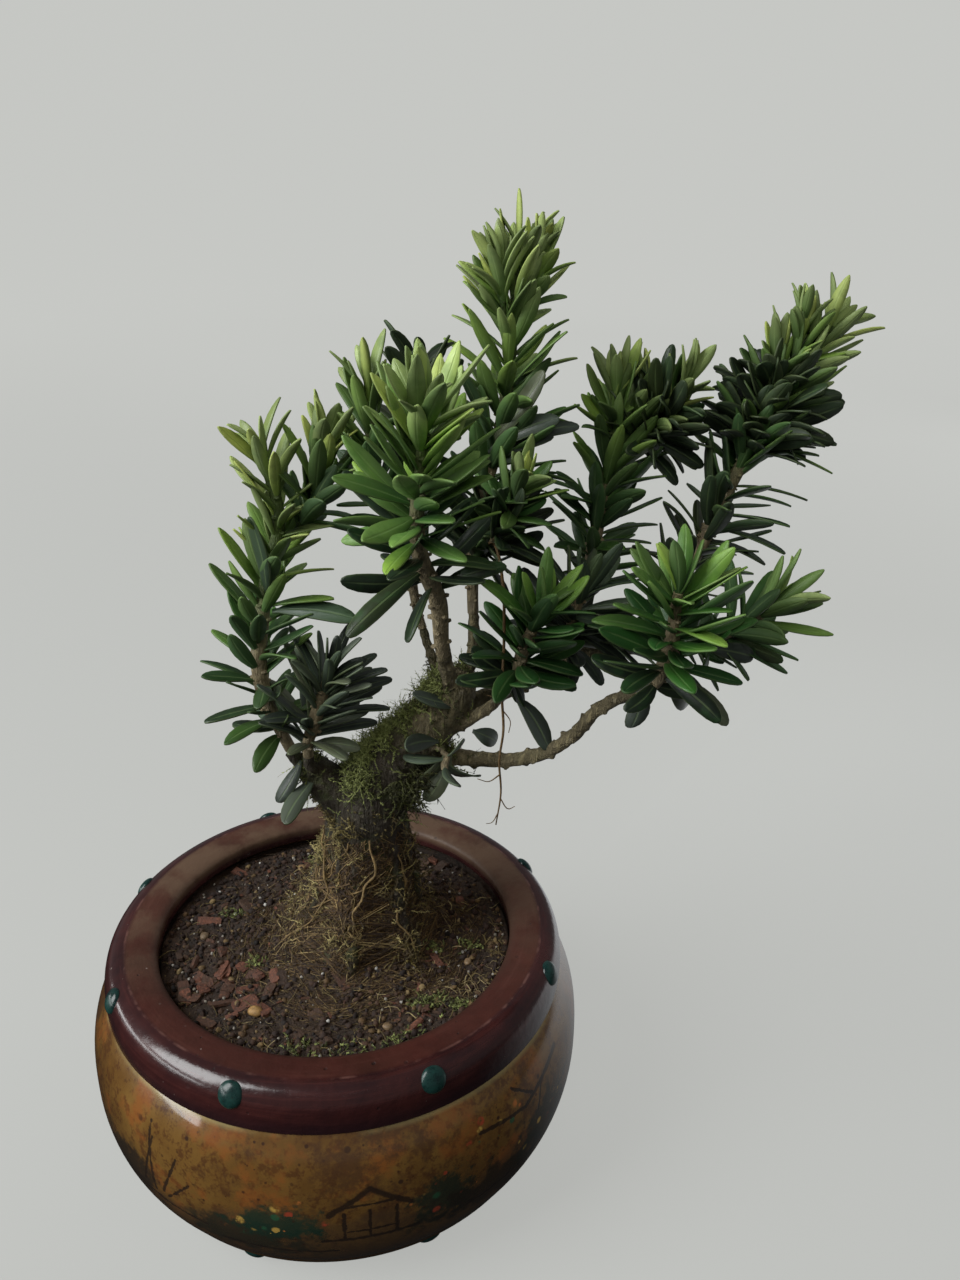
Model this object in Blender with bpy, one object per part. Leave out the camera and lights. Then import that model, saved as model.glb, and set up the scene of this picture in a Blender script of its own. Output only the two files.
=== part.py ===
# A Buddhist pine bonsai in a round glazed pot: the pot, its soil, the trunk with its limbs, and one
# solid for each leafy shoot. Metres, +Z up, the origin at the centre of the pot's flat base, front to -Y.

import math
import random
from typing import NamedTuple

import bmesh
import bpy
from mathutils import Matrix, Vector, noise
from mathutils.bvhtree import BVHTree

MM = 0.001
GAP = 0.3 * MM

# Pot
BELLY_RADIUS = 55 * MM
BELLY_HEIGHT = 24.8 * MM
BASE_RADIUS = 37.2 * MM
POT_HEIGHT = 52.5 * MM
RIDGE_RADIUS = 46.1 * MM
OPENING_RADIUS = 39.3 * MM
BAND_RADIUS = 50.9 * MM
BAND_EDGE_HEIGHT = 43.6 * MM
FOOT_BAND_HEIGHT = 6.4 * MM
BAND_STEP = 0.5 * MM
EDGE_ROUND = 0.4 * MM
FLOOR = 5 * MM
FLOOR_RADIUS = 30 * MM
WALL = 6.4 * MM
LIP_DROP = 1.8 * MM
NECK_DROP = 4.2 * MM
SHOULDER_HEIGHT = 42 * MM
BELLY_STEPS = 6
POT_SEGMENTS = 36
DRAIN_RADIUS = 2.5 * MM
DRAIN_CIRCLE = 13 * MM
DRAIN_HOLES = 3

# Studs on both bands of the pot
STUDS = 8
STUD_RADIUS = 2.7 * MM
STUD_RISE = 0.7
STUD_TURN = math.radians(19.5)
# Radius and height of each ring of studs, and how far its studs tip over from upright
STUD_RINGS = (
    (49.6 * MM, 50.0 * MM, math.radians(62)),
    (47.2 * MM, 4.2 * MM, math.radians(112)),
)

# Share of a stud's height from which a face counts as the stud's own
STUD_EDGE = 0.2

# Soil
SOIL_EDGE_HEIGHT = 47.6 * MM
SOIL_TILT = 1.3 * MM
SOIL_LIP = 2.2 * MM
MOUND_HEIGHT = 4.6 * MM
MOUND_TOP = 9 * MM
MOUND_REACH = 12 * MM
SOIL_ROUGHNESS = 0.55 * MM
# Scale, share and layer of each noise that makes the soil uneven
SOIL_WAVES = ((190, 1.0, 0.3), (430, 0.6, 0.8))
SOIL_SEGMENTS = 28

# Trunk: height, radius and middle of the root cone, then the limbs
ROOT_CENTRE = (4.6, 0.0)
ROOT_LEAN = 3.4
ROOT_LOBES = 7
LOBE_DEPTH = 0.11
SOIL_LEVEL = 50
ROOT_SIDES = 21
ROOT_CONE = (
    (33, 8.5),
    (42, 12.5),
    (49, 16.6),
    (53, 16.2),
    (58, 13.6),
    (64, 11.6),
    (71, 10.4),
    (77, 9.3),
    (81, 7.6),
)

# Limbs, branches and shoots
MAIN_LIMB_SIDES = 11
LEFT_LIMB_SIDES = 8
BRANCH_SIDES = 6
TWIG_SIDES = 5
LIMB_STEPS = 2
SHOOT_STEPS = 2
SHOOT_LEAD = 1.5

# Leaves
LEAF_WIDTH = 3.3
LEAF_KEEL = 1.0
LEAF_CURL = 0.04
LEAF_SECTIONS = ((0.45, 1.0), (0.82, 0.68))
# Share of the keel that fades with the blade's width, and how deep its root and tip lie in it
KEEL_FADE = 0.25
ROOT_DEPTH = 0.3
TIP_DEPTH = 0.2
LEAF_SINK = 0.75
LEAF_CROWDING = 0.85
# How the opening changes along a shoot, and how far each leaf strays from it in degrees
OPENING_CURVE = 1.2
OPENING_STRAY = 6
# Leaf length at the ends of a shoot, what its middle adds, and the least and most of the variations
END_LENGTH = 0.92
MIDDLE_LENGTH = 0.16
LENGTH_STRAY = (0.9, 1.08)
WIDTH_STRAY = (0.9, 1.1)
NUDGES = (0, 15, -15, 30, -30, 45, -45, 60)
NUDGE_LIFT = 0.3
SEED = 27
CLEARANCE = 0.35
GOLDEN_ANGLE = math.radians(137.5)


def clear_scene():
    for thing in list(bpy.data.objects):
        bpy.data.objects.remove(thing)


def glaze(name, color, roughness):
    """A Principled material in a plain colour."""
    material = bpy.data.materials.new(name)
    material.use_nodes = True
    shader = material.node_tree.nodes["Principled BSDF"]
    shader.inputs["Base Color"].default_value = (*color, 1.0)
    shader.inputs["Roughness"].default_value = roughness
    shader.inputs["Metallic"].default_value = 0.0
    material.diffuse_color = (*color, 1.0)
    return material


def make_object(name, shape, material, crease=35):
    """An object from a bmesh, shaded smooth up to the crease angle in degrees."""
    bmesh.ops.recalc_face_normals(shape, faces=shape.faces)
    mesh = bpy.data.meshes.new(name)
    shape.to_mesh(mesh)
    shape.free()
    mesh.materials.append(material)
    mesh.shade_smooth()
    mesh.set_sharp_from_angle(angle=math.radians(crease))
    thing = bpy.data.objects.new(name, mesh)
    bpy.context.scene.collection.objects.link(thing)
    return thing


def keep_largest_body(mesh):
    """Removes loose scraps and the inner skins of sealed hollows, and leaves triangles."""
    shape = bmesh.new()
    shape.from_mesh(mesh)
    bmesh.ops.triangulate(shape, faces=shape.faces)
    unseen = set(shape.faces)
    bodies = []
    while unseen:
        start = unseen.pop()
        body = {start}
        edge_of_search = [start]
        while edge_of_search:
            face = edge_of_search.pop()
            for edge in face.edges:
                for other in edge.link_faces:
                    if other in unseen:
                        unseen.remove(other)
                        body.add(other)
                        edge_of_search.append(other)
        bodies.append(body)
    bodies.sort(key=len)
    for body in bodies[:-1]:
        bmesh.ops.delete(shape, geom=list(body), context="FACES")
    loose = [vert for vert in shape.verts if not vert.link_faces]
    bmesh.ops.delete(shape, geom=loose, context="VERTS")
    shape.to_mesh(mesh)
    shape.free()


def combine(base, parts, operation="UNION", solver="EXACT"):
    """One Boolean of the base with all the parts, applied, with the parts then removed."""
    group = bpy.data.collections.new(base.name + "_parts")
    bpy.context.scene.collection.children.link(group)
    for part in parts:
        group.objects.link(part)
    modifier = base.modifiers.new("combine", "BOOLEAN")
    modifier.operation = operation
    modifier.operand_type = "COLLECTION"
    modifier.collection = group
    modifier.solver = solver
    graph = bpy.context.evaluated_depsgraph_get()
    joined = bpy.data.meshes.new_from_object(base.evaluated_get(graph))
    base.modifiers.clear()
    base.data = joined
    for part in parts:
        bpy.data.objects.remove(part)
    bpy.data.collections.remove(group)
    keep_largest_body(joined)


def turned(profile, segments):
    """A closed body from (radius, height) points that start and end on the axis."""
    shape = bmesh.new()
    verts = [shape.verts.new((radius, 0, height)) for radius, height in profile]
    edges = [shape.edges.new(pair) for pair in zip(verts, verts[1:])]
    bmesh.ops.spin(
        shape,
        geom=verts + edges,
        cent=(0, 0, 0),
        axis=(0, 0, 1),
        angle=math.tau,
        steps=segments,
        use_merge=True,
    )
    bmesh.ops.remove_doubles(shape, verts=shape.verts, dist=0.001 * MM)
    return shape


def arc(start, middle, end, count):
    """Points on the quadratic curve from start to end that bends towards the middle point."""
    points = []
    for step in range(1, count + 1):
        t = step / count
        low, mid, high = (1 - t) ** 2, 2 * t * (1 - t), t * t
        points.append(tuple(low * a + mid * b + high * c for a, b, c in zip(start, middle, end)))
    return points


def belly_radius(height):
    """Outer radius of the pot between its two bands."""
    if height < BELLY_HEIGHT:
        drop = (BELLY_HEIGHT - height) / BELLY_HEIGHT
        return BELLY_RADIUS - (BELLY_RADIUS - BASE_RADIUS) * (1 - math.sqrt(1 - drop * drop))
    rise = (height - BELLY_HEIGHT) / (BAND_EDGE_HEIGHT - BELLY_HEIGHT)
    return BELLY_RADIUS - (BELLY_RADIUS - BAND_RADIUS + BAND_STEP) * rise * rise


def outer_profile():
    """The pot's outside from the base's centre to the ridge of the rim."""
    points = [(0, 0), (BASE_RADIUS, 0)]
    for share in (0.12, 0.5, 1.0):
        height = FOOT_BAND_HEIGHT * share
        points.append((belly_radius(height) + BAND_STEP, height))
    start = FOOT_BAND_HEIGHT + EDGE_ROUND
    span = BAND_EDGE_HEIGHT - EDGE_ROUND - start
    for step in range(BELLY_STEPS + 1):
        height = start + span * step / BELLY_STEPS
        points.append((belly_radius(height), height))
    points.append((BAND_RADIUS, BAND_EDGE_HEIGHT))
    corner = (BAND_RADIUS + EDGE_ROUND, POT_HEIGHT)
    points += arc((BAND_RADIUS, BAND_EDGE_HEIGHT), corner, (RIDGE_RADIUS, POT_HEIGHT), 4)
    return points


def wall_profile(offset):
    """The pot's inside from the lip down to the floor's centre, moved inwards by the offset."""
    lip = OPENING_RADIUS - offset
    floor = FLOOR + offset
    wide = BELLY_RADIUS - WALL - offset
    points = [(lip, POT_HEIGHT - LIP_DROP), (lip, POT_HEIGHT - NECK_DROP)]
    points += arc(points[-1], (wide, SHOULDER_HEIGHT), (wide, BELLY_HEIGHT), 3)
    points += arc(points[-1], (wide, floor), (FLOOR_RADIUS, floor), 4)
    points.append((0, floor))
    return points


def ring_place(ring, azimuth):
    """The matrix that stands a stud on its ring at an azimuth measured from the front."""
    radius, height, tilt = ring
    place = Vector((radius * math.sin(azimuth), -radius * math.cos(azimuth), height))
    return Matrix.Translation(place) @ Matrix.Rotation(azimuth, 4, "Z") @ Matrix.Rotation(tilt, 4, "X")


def stud_places():
    for ring in STUD_RINGS:
        for number in range(STUDS):
            yield ring_place(ring, STUD_TURN + math.tau * number / STUDS)


def make_stud(place, material):
    shape = bmesh.new()
    bmesh.ops.create_uvsphere(shape, u_segments=6, v_segments=4, radius=STUD_RADIUS)
    bmesh.ops.scale(shape, vec=(1, 1, STUD_RISE), verts=shape.verts)
    bmesh.ops.transform(shape, matrix=place, verts=shape.verts)
    return make_object("stud", shape, material)


def on_stud(point):
    """Whether a point of the pot lies in a stud's dome, above the wall that carries it."""
    for place in stud_places():
        local = place.inverted() @ point
        if local.to_2d().length < STUD_RADIUS and local.z > 0 and local.length < STUD_RADIUS:
            return local.z > STUD_RADIUS * STUD_RISE * STUD_EDGE
    return False


def paint_pot(mesh, clay, ochre, red, green):
    """Gives each face of the pot the glaze of its zone: bare clay inside and under the base."""
    finishes = (clay, ochre, red, green)
    mesh.materials.clear()
    for material in finishes:
        mesh.materials.append(material)
    for face in mesh.polygons:
        radius = math.hypot(face.center.x, face.center.y)
        height = face.center.z
        wall = min(belly_radius(min(height, BAND_EDGE_HEIGHT)), OPENING_RADIUS + 2 * WALL) - WALL / 2
        on_rim = height > POT_HEIGHT - NECK_DROP
        banded = height > BAND_EDGE_HEIGHT - EDGE_ROUND or height < FOOT_BAND_HEIGHT + EDGE_ROUND / 2
        finish = clay
        if on_stud(face.center):
            finish = green
        elif height > 0 and (radius > wall or on_rim):
            finish = red if banded else ochre
        face.material_index = finishes.index(finish)


def make_pot():
    clay = glaze("bare_clay", (0.30, 0.13, 0.07), 0.8)
    ochre = glaze("ochre_glaze", (0.47, 0.27, 0.08), 0.3)
    red = glaze("burgundy_glaze", (0.13, 0.030, 0.028), 0.28)
    green = glaze("green_glaze", (0.012, 0.075, 0.055), 0.2)
    inside = wall_profile(0)
    lip = arc((RIDGE_RADIUS, POT_HEIGHT), (OPENING_RADIUS, POT_HEIGHT), inside[0], 2)
    pot = make_object("pot", turned(outer_profile() + lip + inside[1:], POT_SEGMENTS), clay)
    combine(pot, [make_stud(place, green) for place in stud_places()])
    holes = []
    for number in range(DRAIN_HOLES):
        angle = math.tau * number / DRAIN_HOLES
        shape = bmesh.new()
        bmesh.ops.create_cone(
            shape, cap_ends=True, segments=12, radius1=DRAIN_RADIUS, radius2=DRAIN_RADIUS, depth=4 * FLOOR
        )
        offset = (DRAIN_CIRCLE * math.cos(angle), DRAIN_CIRCLE * math.sin(angle), 0)
        bmesh.ops.translate(shape, vec=offset, verts=shape.verts)
        holes.append(make_object("drain", shape, clay))
    combine(pot, holes, "DIFFERENCE")
    paint_pot(pot.data, clay, ochre, red, green)
    pot.data.shade_smooth()
    pot.data.set_sharp_from_angle(angle=math.radians(35))
    return pot


def soil_top(x, y):
    """Height of the soil: lower at the back, a mound round the trunk and fine unevenness."""
    away = math.hypot(x - ROOT_CENTRE[0] * MM, y - ROOT_CENTRE[1] * MM) - MOUND_TOP
    mound = MOUND_HEIGHT * math.exp(-((max(away, 0) / MOUND_REACH) ** 2))
    rough = sum(share * noise.noise(Vector((x, y, layer)) * scale) for scale, share, layer in SOIL_WAVES)
    return SOIL_EDGE_HEIGHT - SOIL_TILT * y / OPENING_RADIUS + mound + SOIL_ROUGHNESS * rough


def make_soil():
    edge = OPENING_RADIUS - GAP
    tops = [edge * share for share in (0, 0.2, 0.42, 0.56, 0.7, 0.86, 1)]
    shape = turned(
        [(radius, SOIL_EDGE_HEIGHT) for radius in tops]
        + [(edge, SOIL_EDGE_HEIGHT - SOIL_LIP)]
        + wall_profile(GAP)[3:],
        SOIL_SEGMENTS,
    )
    for vert in shape.verts:
        if vert.co.z > SOIL_EDGE_HEIGHT - EDGE_ROUND:
            vert.co.z = soil_top(vert.co.x, vert.co.y)
    soil = make_object("soil", shape, glaze("soil", (0.045, 0.026, 0.016), 0.95), 60)
    hole = make_object("trunk_hole", root_cone(GAP), soil.data.materials[0])
    combine(soil, [hole], "DIFFERENCE")
    return soil


def root_cone(extra=0.0):
    """The buttressed foot of the trunk, with lobes that fade upwards; extra widens it for the hole."""
    rings = []
    for height, radius in ROOT_CONE:
        lift = max((height - SOIL_LEVEL) / (ROOT_CONE[-1][0] - SOIL_LEVEL), 0)
        lobes = LOBE_DEPTH * (1 - lift) ** 1.5
        centre = Vector((ROOT_CENTRE[0] + ROOT_LEAN * lift ** 0.8, ROOT_CENTRE[1], height)) * MM
        ring = []
        for side in range(ROOT_SIDES):
            angle = math.tau * side / ROOT_SIDES
            wave = math.cos(ROOT_LOBES * angle + 0.8 * lift) + 0.6 * math.cos(3 * angle + 1.1)
            reach = radius * MM * (1 + lobes * wave) + extra
            ring.append(centre + Vector((math.cos(angle), math.sin(angle), 0)) * reach)
        rings.append(ring)
    rings[0] = [point - Vector((0, 0, extra)) for point in rings[0]]
    return loft(rings)


def loft(rings):
    """A closed body through rings of points, with flat ends."""
    shape = bmesh.new()
    loops = [[shape.verts.new(point) for point in ring] for ring in rings]
    for low, high in zip(loops, loops[1:]):
        for side in range(len(low)):
            other = (side + 1) % len(low)
            shape.faces.new((low[side], low[other], high[other], high[side]))
    shape.faces.new(loops[0][::-1])
    shape.faces.new(loops[-1])
    return shape


def smooth_route(points, steps):
    """Points on the curve through (x, y, z, radius) points in millimetres, as (Vector, radius)."""
    rows = [Vector(point) * MM for point in points]
    spans = [(b.to_3d() - a.to_3d()).length for a, b in zip(rows, rows[1:])]
    slopes = [(b - a) / span for a, b, span in zip(rows, rows[1:], spans)]
    tangents = [slopes[0]]
    for index in range(1, len(slopes)):
        before, after = spans[index - 1], spans[index]
        tangents.append((slopes[index - 1] * after + slopes[index] * before) / (before + after))
    tangents.append(slopes[-1])
    route = []
    for index, span in enumerate(spans):
        for step in range(steps):
            t = step / steps
            start, end = rows[index], rows[index + 1]
            leave, arrive = tangents[index] * span, tangents[index + 1] * span
            route.append(
                start * (2 * t ** 3 - 3 * t ** 2 + 1)
                + leave * (t ** 3 - 2 * t ** 2 + t)
                + end * (3 * t ** 2 - 2 * t ** 3)
                + arrive * (t ** 3 - t ** 2)
            )
    route.append(rows[-1])
    return [(row.to_3d(), row.w) for row in route]


def directions(route):
    """The direction of a route at each of its points."""
    last = len(route) - 1
    return [(route[min(i + 1, last)][0] - route[max(i - 1, 0)][0]).normalized() for i in range(last + 1)]


def across(direction, hint):
    """A unit vector at right angles to the direction, near the hint."""
    return (hint - direction * hint.dot(direction)).normalized()


def tube(points, sides, steps):
    """A round body of changing radius along a smooth route."""
    route = smooth_route(points, steps)
    hint = Vector((0.31, 0.95, 0.02))
    rings = []
    for (centre, radius), direction in zip(route, directions(route)):
        hint = across(direction, hint)
        side = direction.cross(hint)
        ring = []
        for number in range(sides):
            angle = math.tau * number / sides
            ring.append(centre + (hint * math.cos(angle) + side * math.sin(angle)) * radius)
        rings.append(ring)
    return loft(rings)


# Limbs and bare branches, in millimetres from the pot's base: x, y, z and radius
MAIN_LIMB = (
    (7.4, 0, 75, 9.4),
    (8.6, 0, 84, 8.6),
    (13.6, -0.2, 93, 7.0),
    (19.5, -0.6, 100, 6.2),
    (24, -1.4, 106, 5.4),
    (27, -2, 111, 4.4),
    (28.4, -2.2, 114.2, 2.6),
)
LEFT_LIMB = ((6, 0, 80, 5.4), (1, 0, 87, 4.6), (-3, 0.6, 91.5, 3.7), (-5.4, 1.0, 94, 2.4))
BARE_BRANCHES = {
    "left_tall": ((-2.6, 0, 90.5, 2.4), (-6, 0, 94, 2.2), (-7.8, 0, 98, 1.9)),
    "left_low": ((-2.6, -1, 90.5, 2.2), (-3.8, -2.6, 94.5, 1.9), (-4, -3.4, 98, 1.7)),
    "front_top": ((26, -2, 108, 3.0), (25, -4.6, 114, 2.3), (23.4, -8.6, 122, 2.0)),
    "back_left": ((25, 0, 107, 2.2), (22.6, 2.4, 115, 1.7), (20.6, 4.2, 122, 1.4)),
    "centre_tall": ((28, -1, 109, 2.6), (31, 2, 117, 2.1), (31.2, 4, 125, 1.8)),
    "front_low": ((22, -2, 99, 2.6), (29, -4.4, 104, 2.1), (35, -6.6, 109.6, 1.7), (37, -9, 114.4, 1.5)),
    "front_right": (
        (20, -2, 95, 3.0),
        (29, -3.6, 94.6, 2.5),
        (36, -6, 94.8, 2.2),
        (42.7, -10, 97.8, 2.1),
        (49, -15, 105, 2.0),
        (53, -19, 113, 1.9),
        (60, -23, 118.6, 1.7),
    ),
    "right_tall": (
        (25, -1, 105, 3.4),
        (37, 2.6, 106.4, 2.7),
        (50, 6.4, 110.4, 2.4),
        (64, 7.6, 114.8, 2.0),
        (71, 8.2, 120.4, 1.7),
    ),
    "low_twig": ((20, -2, 98, 1.4), (22.6, -6.6, 99.4, 1.1), (23.4, -8.8, 99.2, 0.9)),
    "centre_low": ((42, 4, 108, 1.7), (46, 1.4, 112, 1.4), (49, -0.4, 117.4, 1.2)),
    "right_mid": ((48, 6.2, 110, 2.0), (53, 9.6, 116, 1.7), (56, 12.4, 122, 1.5)),
    "right_low": ((58, 7, 112.8, 1.7), (66.4, 2, 115, 1.5), (73, -3, 118, 1.4)),
}


def make_trunk():
    bark = glaze("bark", (0.115, 0.080, 0.048), 0.9)
    trunk = make_object("trunk", root_cone(), bark, 50)
    parts = [
        make_object("main_limb", tube(MAIN_LIMB, MAIN_LIMB_SIDES, LIMB_STEPS), bark),
        make_object("left_limb", tube(LEFT_LIMB, LEFT_LIMB_SIDES, LIMB_STEPS), bark),
    ]
    for name, points in BARE_BRANCHES.items():
        parts.append(make_object(name, tube(points, BRANCH_SIDES, LIMB_STEPS), bark))
    combine(trunk, parts)
    return trunk


class Shoot(NamedTuple):
    """A leafy stem: route points, number and length of its leaves, the shares of the stem where they
    start and end, how many degrees they open from it at its foot and at its tip, and their width."""

    route: tuple
    leaves: int
    length: float
    span: tuple
    openings: tuple
    width: float = 1.0


# Each spray's shoots, in millimetres: the first goes on from the bare branch of the spray's name,
# a second one grows from the first, and one without a route is more leaves on the first
SPRAYS = {
    "front_top": (
        Shoot(
            ((22, -13, 134, 1.7), (18, -18.6, 146, 1.5), (18.3, -26, 173, 0.9)),
            34, 15.8, (0.58, 1), (62, 22), 1.16,
        ),
        Shoot((), 8, 18, (0.24, 0.52), (78, 58), 1.15),
    ),
    "front_right": (
        Shoot(((62.8, -25, 124, 1.5), (63.2, -28, 140, 0.9)), 34, 15.2, (0.32, 1), (80, 22), 1.15),
        Shoot((), 5, 15, (0.1, 0.32), (94, 80), 1.2),
    ),
    "centre_tall": (
        Shoot(
            ((32.5, 7, 145, 1.6), (37, 10, 160, 1.4), (41.6, 17, 194, 0.9)),
            51, 15.4, (0.14, 1), (64, 22), 1.08,
        ),
        Shoot(((31.6, 5, 136, 1.0), (36, 2, 143, 0.9), (39.6, -0.6, 153, 0.8)), 13, 11, (0.5, 1), (60, 24)),
    ),
    "right_tall": (
        Shoot(
            ((79, 9.4, 131, 1.6), (89.3, 12.6, 151, 1.4), (109.4, 19.8, 179, 0.9)),
            54, 15, (0.08, 1), (62, 22), 1.08,
        ),
        Shoot(((91, 13.4, 154, 1.0), (95.4, 15, 163, 0.9), (97, 16.6, 174, 0.8)), 12, 11, (0.4, 1), (50, 22)),
    ),
    "right_mid": (
        Shoot(
            ((59.6, 16, 135, 1.5), (62, 18.6, 147, 1.3), (70.4, 24, 165, 0.9)),
            41, 15.2, (0.14, 1), (64, 24), 1.1,
        ),
    ),
    "centre_low": (
        Shoot(((51, -1.4, 124, 1.1), (52.6, -1.8, 130, 0.9)), 20, 14.4, (0.04, 1), (78, 30), 1.1),
    ),
    "low_twig": (
        Shoot(((23.5, -10.8, 98.4, 0.8), (23.2, -12, 97, 0.7)), 6, 12, (0.2, 1), (95, 50), 1.15),
    ),
    "right_low": (
        Shoot(((81, -9, 122.6, 1.2), (91, -11, 129.6, 0.9)), 22, 14.4, (0.1, 1), (62, 24)),
    ),
    "front_low": (
        Shoot(((38.4, -12, 122, 1.3), (41.4, -15.4, 133, 0.9)), 26, 14.2, (0.05, 1), (80, 22), 1.2),
    ),
    "left_tall": (
        Shoot(
            ((-12.6, 0, 114, 1.6), (-11, 2, 130, 1.5), (-7, 4, 148, 1.2), (-9.6, 4, 160, 0.9)),
            44, 13.2, (0.06, 1), (66, 22),
        ),
        Shoot(
            ((-8.8, 3.2, 139, 1.1), (-1.6, 5.6, 146, 1.0), (2.6, 6.4, 160, 0.8)),
            18, 13.2, (0.35, 1), (56, 20),
        ),
    ),
    "left_low": (
        Shoot(((-2.4, -4.6, 106, 1.4), (0.6, -6, 116, 0.9)), 28, 14, (0.04, 1), (72, 26), 1.05),
    ),
    "back_left": (
        Shoot(((17.4, 5.6, 140, 1.2), (12, 6.6, 155, 1.1), (11.2, 8, 171, 0.8)), 18, 13, (0.5, 1), (58, 22)),
        Shoot(
            ((17.1, 5.7, 141, 1.0), (19.6, 9.4, 160, 0.9), (21.2, 11.4, 173, 0.8)),
            16, 13, (0.45, 1), (58, 22), 1.1,
        ),
    ),
}


def after_branch(name, route):
    """The route, starting a gap beyond the bare branch's end, in its direction and with its radius."""
    branch = smooth_route(BARE_BRANCHES[name], LIMB_STEPS)
    end, radius = branch[-1]
    onward = directions(branch)[-1]
    start = (end + onward * GAP) / MM
    second = start + onward * SHOOT_LEAD
    return ((*start, radius / MM), (*second, radius / MM)) + route


def connected(name, shoots):
    """The spray's shoots, with the first one led on from its bare branch."""
    first = shoots[0]._replace(route=after_branch(name, shoots[0].route))
    return (first, *shoots[1:])


def leaf_shape(length, width, keel, root):
    """A lance-shaped blade along +X: flat above, keeled below, and drawn to a point at its root and tip."""
    rings = []
    for share, spread in LEAF_SECTIONS:
        x, half = share * length, width * spread / 2
        rise = LEAF_CURL * length * share * share
        deep = keel * (1 - KEEL_FADE * (1 - spread))
        rings.append((Vector((x, half, rise)), Vector((x, -half, rise)), Vector((x, 0, rise - deep))))
    shape = bmesh.new()
    low, high = [[shape.verts.new(point * MM) for point in ring] for ring in rings]
    foot = shape.verts.new(Vector((root, 0, -ROOT_DEPTH * keel)) * MM)
    tip = shape.verts.new(Vector((length, 0, LEAF_CURL * length - TIP_DEPTH * keel)) * MM)
    for side in range(3):
        other = (side + 1) % 3
        shape.faces.new((low[side], low[other], high[other], high[side]))
        shape.faces.new((high[side], high[other], tip))
        shape.faces.new((low[other], low[side], foot))
    bmesh.ops.triangulate(shape, faces=shape.faces)
    return shape


def leaf_place(origin, direction, azimuth, opening):
    """The matrix that stands a leaf on the stem with its upper side towards the stem's tip."""
    out = Matrix.Rotation(azimuth, 3, direction) @ across(direction, Vector((0.9, 0.3, 0.1)))
    along = direction * math.cos(opening) + out * math.sin(opening)
    upper = (direction - along * direction.dot(along)).normalized()
    turn = Matrix((along, upper.cross(along), upper)).transposed().to_4x4()
    return Matrix.Translation(origin) @ turn


def tree_of(thing):
    shape = bmesh.new()
    shape.from_mesh(thing.data)
    tree = BVHTree.FromBMesh(shape)
    shape.free()
    return tree


def meets(place, length, width, root, obstacles):
    """Whether a leaf, made larger all round by the clearance, would touch an obstacle."""
    shape = leaf_shape(length + CLEARANCE, width + 2 * CLEARANCE, LEAF_KEEL + 2 * CLEARANCE, root)
    bmesh.ops.translate(shape, vec=(0, 0, CLEARANCE * MM), verts=shape.verts)
    bmesh.ops.transform(shape, matrix=place, verts=shape.verts)
    probe = BVHTree.FromBMesh(shape)
    shape.free()
    return any(probe.overlap(tree) for tree in obstacles)


def point_at(route, share):
    """Position, radius and direction at a share of a route's length."""
    lengths = [0.0]
    for (a, _), (b, _) in zip(route, route[1:]):
        lengths.append(lengths[-1] + (b - a).length)
    target = share * lengths[-1]
    for index in range(1, len(route)):
        if lengths[index] >= target or index == len(route) - 1:
            part = (target - lengths[index - 1]) / (lengths[index] - lengths[index - 1])
            (a, low), (b, high) = route[index - 1], route[index]
            ways = directions(route)
            way = ways[index - 1].lerp(ways[index], part).normalized()
            return a.lerp(b, part), low + (high - low) * part, way


def leaves_of(shoot, stem, obstacles, draw, material):
    """The shoot's leaves on a golden-angle spiral; one that would touch an obstacle is turned or left out."""
    route = smooth_route(stem, 4)
    first, last = shoot.span
    leaves = []
    turn = draw.uniform(0, math.tau)
    foot, tip = shoot.openings
    for number in range(shoot.leaves):
        share = (number + 0.5) / shoot.leaves
        origin, radius, way = point_at(route, first + (last - first) * share ** LEAF_CROWDING)
        opening = foot + (tip - foot) * share ** OPENING_CURVE
        opening += draw.uniform(-OPENING_STRAY, OPENING_STRAY)
        length = shoot.length * (END_LENGTH + MIDDLE_LENGTH * math.sin(math.pi * share))
        length *= draw.uniform(*LENGTH_STRAY)
        width = LEAF_WIDTH * shoot.width * draw.uniform(*WIDTH_STRAY)
        root = -LEAF_SINK * radius / MM
        for nudge in NUDGES:
            azimuth = turn + GOLDEN_ANGLE * number + math.radians(nudge)
            place = leaf_place(origin, way, azimuth, math.radians(opening - abs(nudge) * NUDGE_LIFT))
            if not meets(place, length, width, root, obstacles):
                shape = leaf_shape(length, width, LEAF_KEEL, root)
                bmesh.ops.transform(shape, matrix=place, verts=shape.verts)
                leaves.append(make_object("leaf", shape, material))
                break
    return leaves


def make_stems(name, shoots, material):
    """The stem of each shoot of a spray, the first one named as the spray."""
    stems = []
    for route in filter(None, (shoot.route for shoot in shoots)):
        title = "stem" if stems else "spray_" + name
        stems.append(make_object(title, tube(route, TWIG_SIDES, SHOOT_STEPS), material))
    return stems


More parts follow.
